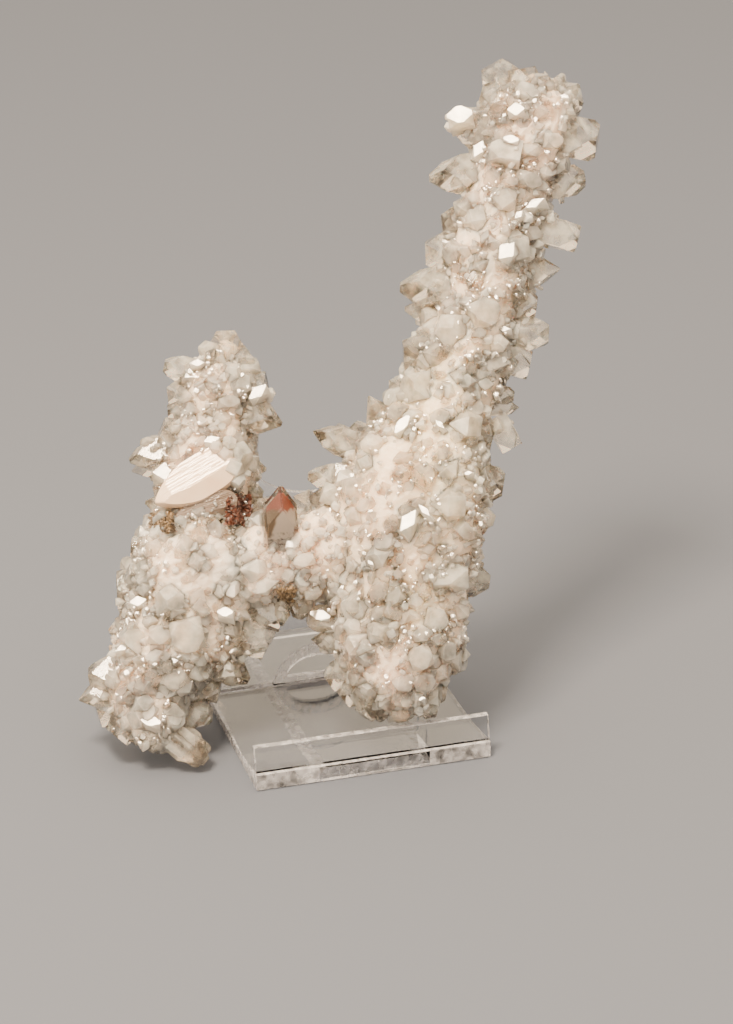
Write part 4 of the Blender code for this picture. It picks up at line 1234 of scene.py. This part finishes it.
@dataclass
class Blade:
    """A long tablet that tapers at one end, flat in front with fine steps along it."""

    name: str
    node: str | None
    centre: Point
    long_way: Point
    face_way: Point
    length: float
    width: float
    thickness: float
    streak_depth: float
    slot: str
    ridge: float = -0.35
    fall: float = 0.8
    level: float = 0.75
    reach: float = 0.999
    point_powers: Range = (1.6, 0.8)
    blunt_powers: Range = (5.0, 0.6)
    squareness: int = 6
    thinning: tuple[float, float, float] = (0.55, 0.45, 0.2)
    drifts: tuple[Point, ...] = ((0.5, 2.3, 0.4), (0.2, 7.1, 0.0))
    grooves: tuple[tuple[float, float, float, float], ...] = (
        (1.9, 1.0, 1.0, 0.12),
        (3.3, -1.3, 0.7, 0.18),
        (6.1, 1.9, 0.35, 0.25),
    )
    rows: int = 70
    columns: int = 360

    def skin(self) -> np.ndarray:
        """Points of the blade in the specimen's frame.

        Along the blade, u from -1 to 1, its half width is the full one times (1 - |u|^p) to a power, which
        is its taper, blunter at the right end. Its half thickness is the full one times (0.55 + 0.45 taper)
        taper^0.2. Round it, each ring is a rounded rectangle, a superellipse of power 6. One plane cuts its
        front flat and a sloping one cuts off its lower front corner, which leaves a ridge along the blade.
        The flat face has grooves along it, each a narrow bell curve of the sine of the place across it, and
        all drift a little on the way along.
        """
        u, turn = np.meshgrid(
            np.linspace(-self.reach, self.reach, self.rows),
            np.arange(self.columns) * math.tau / self.columns,
            indexing="ij",
        )
        pointed, blunt = ((1 - np.abs(u) ** p) ** q for p, q in (self.point_powers, self.blunt_powers))
        taper = np.where(u < 0, pointed, blunt)
        cosine, sine = np.cos(turn), np.sin(turn)
        ring = (np.abs(cosine) ** self.squareness + np.abs(sine) ** self.squareness) ** (-1 / self.squareness)
        across = self.width / 2 * taper * ring * cosine
        least, gain, power = self.thinning
        out = self.thickness / 2 * (least + gain * taper) * taper**power * ring * sine
        ridge = self.ridge * self.width / 2 * taper
        level = self.level * self.thickness / 2
        out = np.where(sine > 0, np.minimum(out, level), out)
        slope = level - self.fall * (ridge - across)
        out = np.where((sine > 0) & (across < ridge), np.minimum(out, slope), out)
        drift = sum(size * np.sin(pace * u + phase) for size, pace, phase in self.drifts)
        grooves = sum(
            share * np.exp(-((np.sin(pitch * across + lag * drift) / narrow) ** 2))
            for pitch, lag, share, narrow in self.grooves
        )
        out = np.where((sine > 0) & (across >= ridge), out - self.streak_depth * grooves * taper, out)
        long_way = unit(np.array(self.long_way))
        cross_way = unit(np.cross(self.face_way, long_way))
        face_way = np.cross(long_way, cross_way)
        return (
            np.array(self.centre)
            + (u * self.length / 2)[..., None] * long_way
            + across[..., None] * cross_way
            + out[..., None] * face_way
        )

    def build(self, finish: Finish) -> Piece:
        """Makes the blade as a closed tube with a point at each end."""
        skin = self.skin()
        poles = np.stack([skin[0].mean(axis=0), skin[-1].mean(axis=0)])
        points = np.vstack([skin.reshape(-1, 3), poles])
        faces = [grid_quads(self.rows, self.columns), pole_fans(self.rows, self.columns)]
        return new_piece(self.name, POSE.world(points), faces, [finish])

    def dress(self, piece: Piece) -> None:
        """Rides the blade on the body, for its solid where it has one."""
        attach(piece, BODY)
        if self.node:
            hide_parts(self.node)


@dataclass
class StainedCrystal:
    """The pointed crystal in front of the fork: a clear margin round a rusty growth."""

    tip: Point = (-26.5, -12.5, 79.0)
    root: Point = (-27.5, -7.0, 60.0)
    half_width: float = 4.8
    cut: float = 0.1
    twist: float = 42.0
    margin: float = 1.1
    tip_margin: float = 2.2
    rust_above: float = 71.7
    rust_blur: float = 0.8
    streak_foot: Range = (-31.6, 64.5)
    streak_half_width: float = 1.9
    streak_blur: float = 0.5
    specks_below: float = 68.5
    specks_blur: float = 6.0
    specks_gain: float = 1.6
    specks_pitch: float = 1.1
    rough_pitch: float = 2.4
    rust_rough: float = 0.9
    streak_rough: float = 0.4
    seed: int = 5
    parts: int = 24

    def crystal(self, inset: float, tip_inset: float) -> Crystals:
        """The crystal, made smaller all round by inset and shorter by tip_inset."""
        axis = unit(np.subtract(self.tip, self.root))
        tip = np.array(self.tip) - axis * tip_inset
        root = np.array(self.root) + axis * inset
        return Crystals.placed([(tip, root, self.half_width - inset, self.cut, self.twist)], 1.0)

    def split(self, corners: np.ndarray, quads: np.ndarray) -> tuple[np.ndarray, np.ndarray]:
        """Each quad as a grid of parts by parts, blended from its corners, so that colours vary over it."""
        along = np.linspace(0, 1, self.parts + 1)
        u, v = np.meshgrid(along, along, indexing="ij")
        shares = np.stack([(1 - u) * (1 - v), u * (1 - v), u * v, (1 - u) * v], axis=-1).reshape(-1, 4)
        points = np.einsum("sc,qcd->qsd", shares, corners[quads])
        cells = grid_quads(self.parts + 1, self.parts + 1, closed=False)[:, ::-1]
        starts = np.arange(len(quads)) * len(shares)
        return points.reshape(-1, 3), (cells[None] + starts[:, None, None]).reshape(-1, 4)

    def stains(self, points: np.ndarray) -> np.ndarray:
        """Colours of the inner growth: a rusty tip, a streak down the left edge, and specks near the foot.

        Each stain's share runs from 0 to 1 over its blur in millimetres, with its edge roughened by ripples.
        """
        rough = ripples(points, self.rough_pitch, self.seed)
        rust = np.clip((points[:, 2] - self.rust_above + self.rust_rough * rough) / self.rust_blur, 0, 1)
        apex = np.array([self.tip[0], self.tip[2] - self.tip_margin])
        way = unit(np.subtract(self.streak_foot, apex))
        offset = points[:, (0, 2)] - apex
        aside = np.abs(offset[:, 0] * way[1] - offset[:, 1] * way[0])
        inside = self.streak_half_width - aside + self.streak_rough * rough
        streak = np.clip(inside / self.streak_blur, 0, 1) * (points[:, 2] > self.streak_foot[1])
        foot = np.clip((self.specks_below - points[:, 2]) / self.specks_blur, 0, 1)
        specks = foot * self.specks_gain + ripples(points, self.specks_pitch, self.seed + 1)
        specks = np.clip(specks - 1, 0, 1)
        colour = np.tile(np.array(RustFinish.grey), (len(points), 1))
        for share, tone in ((streak, RustFinish.ochre), (rust, RustFinish.rust), (specks, RustFinish.speck)):
            colour = colour * (1 - share[:, None]) + np.array(tone) * share[:, None]
        return colour

    def build(self, clear: Finish, rust: Finish) -> Piece:
        """Makes both growths as one piece, the inner one stained towards its tip.

        Args:
            clear: the finish of the margin.
            rust: the finish of the growth inside it.

        Returns:
            The piece.
        """
        quads = crystal_quads(1)
        outer, _ = self.crystal(0.0, 0.0).shells()
        corners, _ = self.crystal(self.margin, self.tip_margin).shells()
        inner, cells = self.split(corners, quads)
        points = POSE.world(np.vstack([outer, inner]))
        piece = new_piece("rust_tipped_crystal", points, [quads, cells + len(outer)], [clear, rust])
        give_colour(piece, np.vstack([np.ones((len(outer), 3)), self.stains(inner)]))
        return piece

    def dress(self, piece: Piece) -> None:
        """Rides the crystal on the body in place of its solid."""
        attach(piece, BODY)
        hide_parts("stained_crystal")


@dataclass(frozen=True)
class GrainPatch:
    """Small grains on a growth's front: middle, lift off the core, reach, count, sizes and two colours."""

    growth: Growth
    x: float
    z: float
    lift: float
    reach: Range
    count: int
    size: Range
    dark: Colour
    light: Colour


@dataclass
class Grains:
    """Brown and red grains caught between the crystals, in a few patches, densest in their middles."""

    patches: tuple[GrainPatch, ...]
    seed: int = 41
    gather: float = 0.6
    lift_spread: float = 0.8
    facing: Point = (0.0, -0.8, 0.2)
    long: Range = (0.8, 1.8)
    cuts: Range = (0.3, 1.0)
    depth: Range = (0.3, 0.9)

    def flakes(self, patch: GrainPatch, chance: Chance) -> Crystals:
        """The grains of one patch, off its middle by its reach times the tanh of normal draws."""
        count = patch.count
        aside, above = np.tanh(chance.normal(0, self.gather, (2, count)))
        x, z = patch.x + aside * patch.reach[0], patch.z + above * patch.reach[1]
        lift = patch.lift + chance.uniform(-self.lift_spread, self.lift_spread, count)
        seat = np.stack([x, patch.growth.front_depth(x, z) - lift, z], axis=1)
        aim = unit(chance.normal(0, 1, (count, 3)) + self.facing)
        half = chance.uniform(*patch.size, count)
        long = (half * chance.uniform(*self.long, count))[:, None]
        cut = chance.uniform(*self.cuts, count)
        twist = chance.uniform(0, math.pi, count)
        depth = chance.uniform(*self.depth, count)
        return Crystals(seat + aim * long, seat - aim * long, half, cut, twist, np.zeros(count), depth)

    def build(self, finish: Finish) -> Piece:
        """Makes every grain as a stubby crystal with its own shade between its patch's two colours."""
        chance = np.random.default_rng(self.seed)
        batches, colours = [], []
        for patch in self.patches:
            batches.append(self.flakes(patch, chance))
            share = np.repeat(chance.uniform(0, 1, patch.count), LEVELS * SIDES)[:, None]
            colours.append(np.array(patch.dark) * (1 - share) + np.array(patch.light) * share)
        grains = Crystals.joined(batches)
        corners, _ = grains.shells()
        quads = crystal_quads(len(grains.half_width))
        piece = new_piece("brown_grains", POSE.world(corners), [quads], [finish])
        give_colour(piece, np.vstack(colours))
        return piece

    def dress(self, piece: Piece) -> None:
        """Rides the grains on the body."""
        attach(piece, BODY)


@dataclass
class EaselPart:
    """A moulding of the clear easel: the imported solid's shape with rounded edges. Sizes are in metres."""

    node: str
    name: str
    edge_radius: float
    clear_middle: float = 0.0
    window_top: float = 0.005
    edge_width: float = 0.0058
    merge: float = 0.000002
    flat_angle: float = math.radians(0.6)
    edge_angle: float = math.radians(25)
    looks_front: float = -0.7

    def build(self, finish: Finish, edge: Finish) -> Piece:
        """Copies the solid's mesh, joins its loose triangles into flat faces, and rounds its edges.

        A face is an edge of the moulding, and takes the pale frosted finish, a painted highlight, when twice
        its area over the length of its outline, about its width, is under edge_width. The rounded edges take
        that painted highlight too, and the front stays clear between clear_middle and its mirror place, up to
        window_top.

        Args:
            finish: the finish of the broad faces.
            edge: the pale finish of the narrow ones, a painted highlight.

        Returns:
            The object.
        """
        bm = bmesh.new()
        bm.from_mesh(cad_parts[self.node].data)
        bmesh.ops.remove_doubles(bm, verts=bm.verts, dist=self.merge)
        bmesh.ops.dissolve_limit(bm, angle_limit=self.flat_angle, verts=bm.verts, edges=bm.edges)
        # Narrow faces take the pale finish, a painted highlight
        for face in bm.faces:
            face.material_index = int(2 * face.calc_area() / face.calc_perimeter() < self.edge_width)
        for place in (-self.clear_middle, self.clear_middle) if self.clear_middle else ():
            everything = [*bm.verts, *bm.edges, *bm.faces]
            bmesh.ops.bisect_plane(bm, geom=everything, plane_co=(place, 0, 0), plane_no=(1, 0, 0))
        for face in bm.faces:
            middle = face.calc_center_median()
            inside = abs(middle.x) < self.clear_middle and middle.z < self.window_top
            if inside and face.normal.y < self.looks_front:
                face.material_index = 0
        mesh = bpy.data.meshes.new(self.name)
        bm.to_mesh(mesh)
        bm.free()
        mesh.materials.append(finish)
        mesh.materials.append(edge)
        piece = bpy.data.objects.new(self.name, mesh)
        bpy.context.scene.collection.objects.link(piece)
        rounding = piece.modifiers.new("Rounded edges", "BEVEL")
        rounding.width = self.edge_radius
        rounding.segments = 2
        rounding.material = 1
        rounding.limit_method = "ANGLE"
        rounding.angle_limit = self.edge_angle
        return piece

    def dress(self, piece: Piece) -> None:
        """Rides the moulding on the body in place of its solid."""
        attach(piece, BODY)
        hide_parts(self.node)


@dataclass(frozen=True)
class Lamp:
    """A soft square light: where it stands, its size in metres, its power in watts and its colour."""

    name: str
    place: Point
    size: float
    power: float
    colour: Colour


@dataclass
class Studio:
    """The pale floor, the soft lights and the camera. Places and sizes are in metres."""

    middle: Point = (0.0, 0.04, 0.09)
    floor_size: float = 6.0
    floor_gap: float = 0.0003
    floor_colour: Colour = (0.088, 0.100, 0.130)
    floor_roughness: float = 0.8
    surround_colour: Colour = (1.0, 0.82, 0.61)
    surround_strength: float = 2.0
    camera_azimuth: float = math.radians(-16.8)
    camera_elevation: float = math.radians(24.5)
    camera_distance: float = 0.944
    camera_right: float = -0.002152
    camera_up: float = 0.074603
    lens: float = 115.664
    sensor_width: float = 36.0
    key_way: Point = (-0.22, -0.73, 0.65)
    key_distance: float = 1.1

    def floor(self) -> None:
        """A large pale plane that isn't part of the object."""
        half = self.floor_size / 2
        low = -self.floor_gap
        corners = np.array([(-half, -half, low), (half, -half, low), (half, half, low), (-half, half, low)])
        recipe = Recipe("pale_floor", Base_Color=(*self.floor_colour, 1.0), Roughness=self.floor_roughness)
        floor = new_piece("studio_floor", corners, [np.array([[0, 1, 2, 3]])], [recipe.made])

    def lamps(self) -> tuple[Lamp, ...]:
        """A key light that the bright faces mirror to the camera, and fills from above and from the left."""
        key = np.array(self.middle) + POSE.direction(self.key_way) * self.key_distance
        return (
            Lamp("key_light", tuple(key), 0.30, 42.0, (1.0, 0.79, 0.55)),
            Lamp("overhead_light", (0.1, 0.3, 1.5), 1.6, 28.0, (1.0, 0.81, 0.57)),
            Lamp("side_light", (-1.1, -0.9, 0.6), 0.6, 20.0, (1.0, 0.81, 0.57)),
        )

    def light(self) -> None:
        """Makes the lights, all turned to the specimen's middle, and a bright, warm, even surround."""
        for lamp in self.lamps():
            data = bpy.data.lights.new(lamp.name, "AREA")
            data.shape = "SQUARE"
            data.size = lamp.size
            data.energy = lamp.power
            data.color = lamp.colour
            made = bpy.data.objects.new(lamp.name, data)
            away = unit(np.subtract(lamp.place, self.middle))
            right = unit(np.cross((0.0, 0.0, 1.0), away))
            made.location = lamp.place
            made.rotation_mode = "QUATERNION"
            made.rotation_quaternion = self.turned(right, away)
            bpy.context.scene.collection.objects.link(made)
        world = bpy.data.worlds.new("warm_surround")
        world.use_nodes = True
        background = world.node_tree.nodes["Background"]
        background.inputs["Color"].default_value = (*self.surround_colour, 1.0)
        background.inputs["Strength"].default_value = self.surround_strength
        bpy.context.scene.world = world

    @staticmethod
    def turned(right: np.ndarray, back: np.ndarray) -> Quaternion:
        """The turn that takes X to right and Z to back, both unit vectors square to each other."""
        return Matrix(np.stack([right, np.cross(back, right), back], axis=1).tolist()).to_quaternion()

    def camera(self) -> None:
        """A long lens at the photograph's angle, looking down on the easel from the front left."""
        a, e = self.camera_azimuth, self.camera_elevation
        right = np.array([math.cos(a), math.sin(a), 0.0])
        back = np.array([math.sin(a) * math.cos(e), -math.cos(a) * math.cos(e), math.sin(e)])
        up = np.cross(back, right)
        data = bpy.data.cameras.new("camera")
        data.lens = self.lens
        data.sensor_width = self.sensor_width
        made = bpy.data.objects.new("camera", data)
        made.location = self.camera_right * right + self.camera_up * up + self.camera_distance * back
        made.rotation_mode = "QUATERNION"
        made.rotation_quaternion = self.turned(right, back)
        bpy.context.scene.collection.objects.link(made)
        bpy.context.scene.camera = made

    def build(self) -> None:
        """Makes the whole studio."""
        self.floor()
        self.light()
        self.camera()


def specimen_branches() -> tuple[Branch, Branch]:
    """Both stalactites, each with a coarse crust and a fine one.

    A crust is given by its count, smallest and largest half width, tilt, clearness, seed and rise, and the
    scattered crystals, riders and glints by their count and seed.
    """
    left = Branch(
        name="left_crystals",
        node="left_stalactite",
        growth=LEFT_LINE,
        bridge=BRIDGE_LINE,
        bridge_shares=(0.0, FORK_SHARE + FORK_OVERLAP),
        outline=LEFT_CRYSTALS,
        facets=LEFT_FACETS,
        scatter=Scatter(60, 11),
        crusts=(Druse(700, 1.5, 3.4, 0.35, 0.75, 51), Druse(1200, 0.45, 1.3, 0.5, 0.65, 52, 0.15)),
        bridge_crusts=(Druse(260, 1.4, 3.0, 0.35, 0.65, 53), Druse(600, 0.4, 1.3, 0.5, 0.6, 54, 0.15)),
        riders=Riders(450, 111),
        glints=Glints(1000, 71),
        extras=BLADE_COVER,
    )
    right = Branch(
        name="right_crystals",
        node="right_stalactite",
        growth=RIGHT_LINE,
        bridge=BRIDGE_LINE,
        bridge_shares=(FORK_SHARE - FORK_OVERLAP, 1.0),
        outline=RIGHT_CRYSTALS,
        facets=RIGHT_FACETS,
        scatter=Scatter(90, 23),
        crusts=(Druse(1100, 1.5, 3.4, 0.35, 0.75, 61), Druse(1500, 0.45, 1.3, 0.5, 0.65, 62, 0.15)),
        bridge_crusts=(Druse(260, 1.4, 3.0, 0.35, 0.65, 63), Druse(600, 0.4, 1.3, 0.5, 0.6, 64, 0.15)),
        riders=Riders(700, 123),
        glints=Glints(1700, 72),
    )
    return left, right


def blades() -> tuple[Blade, Blade]:
    """The large peach blade across the left branch, and the grey one under it, which has no solid."""
    peach = Blade(
        name="peach_blade",
        node="heulandite_blade",
        centre=(-51.0, -12.5, 80.5),
        long_way=(0.80, 0.08, 0.47),
        face_way=(-0.065, -0.935, 0.347),
        length=26.0,
        width=12.0,
        thickness=8.4,
        streak_depth=0.12,
        slot="heulandite",
    )
    grey = Blade(
        name="grey_blade",
        node=None,
        centre=(-48.0, -11.6, 73.0),
        long_way=(0.95, 0.0, 0.30),
        face_way=(0.15, -0.95, -0.05),
        length=19.0,
        width=7.5,
        thickness=5.0,
        streak_depth=0.2,
        slot="apophyllite",
    )
    return peach, grey


def brown_grains() -> Grains:
    """The patches of grains: brown under the peach blade and below the fork, and red between them."""
    earth = ((0.02, 0.012, 0.007), (0.23, 0.155, 0.085))
    red = ((0.02, 0.008, 0.006), (0.095, 0.028, 0.014))
    return Grains(
        (
            GrainPatch(LEFT_LINE, -60.6, 68.9, 3.2, (4.0, 3.0), 420, (0.18, 0.5), *earth),
            GrainPatch(LEFT_LINE, -38.6, 72.3, 4.6, (3.6, 4.6), 480, (0.22, 0.6), *red),
            GrainPatch(BRIDGE_LINE, -25.0, 48.0, 3.4, (2.8, 2.4), 200, (0.15, 0.42), *earth),
        )
    )


def report(piece: Piece) -> None:
    """Logs a piece's name and how many faces it has."""
    LOG.info("%s: %d faces", piece.name, len(piece.data.polygons))


def main() -> None:
    """Builds the specimen, its easel and the studio in order."""
    logging.basicConfig(level=logging.INFO, format="%(name)s %(message)s")
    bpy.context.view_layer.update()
    crystal, milk = CrystalFinish().build(), MilkFinish().build()
    for branch in specimen_branches():
        pieces = branch.build(crystal, milk)
        branch.dress(pieces)
        for piece in pieces:
            report(piece)

    peach_blade, grey_blade = blades()
    grey_finish = HeulanditeFinish("grey_blade", (0.36, 0.28, 0.23), (0.19, 0.13, 0.09), 0.4)
    # The edge finish is a painted highlight for the bright lines along the easel's edges
    plastic, edge = PlasticFinish().build(), EdgeHighlightFinish().build()
    parts = (
        (peach_blade, (HeulanditeFinish().build(),)),
        (grey_blade, (grey_finish.build(),)),
        (StainedCrystal(), (ClearCrystalFinish().build(), RustFinish().build())),
        (brown_grains(), (GrainFinish().build(),)),
        (EaselPart("stand_base", "easel_base", edge_radius=0.0004, clear_middle=0.0165), (plastic, edge)),
        (EaselPart("stand_back", "easel_back", edge_radius=0.0003), (plastic, edge)),
    )
    for part, finishes in parts:
        piece = part.build(*finishes)
        part.dress(piece)
        report(piece)

    Studio().build()


if __name__ == "__main__":
    main()
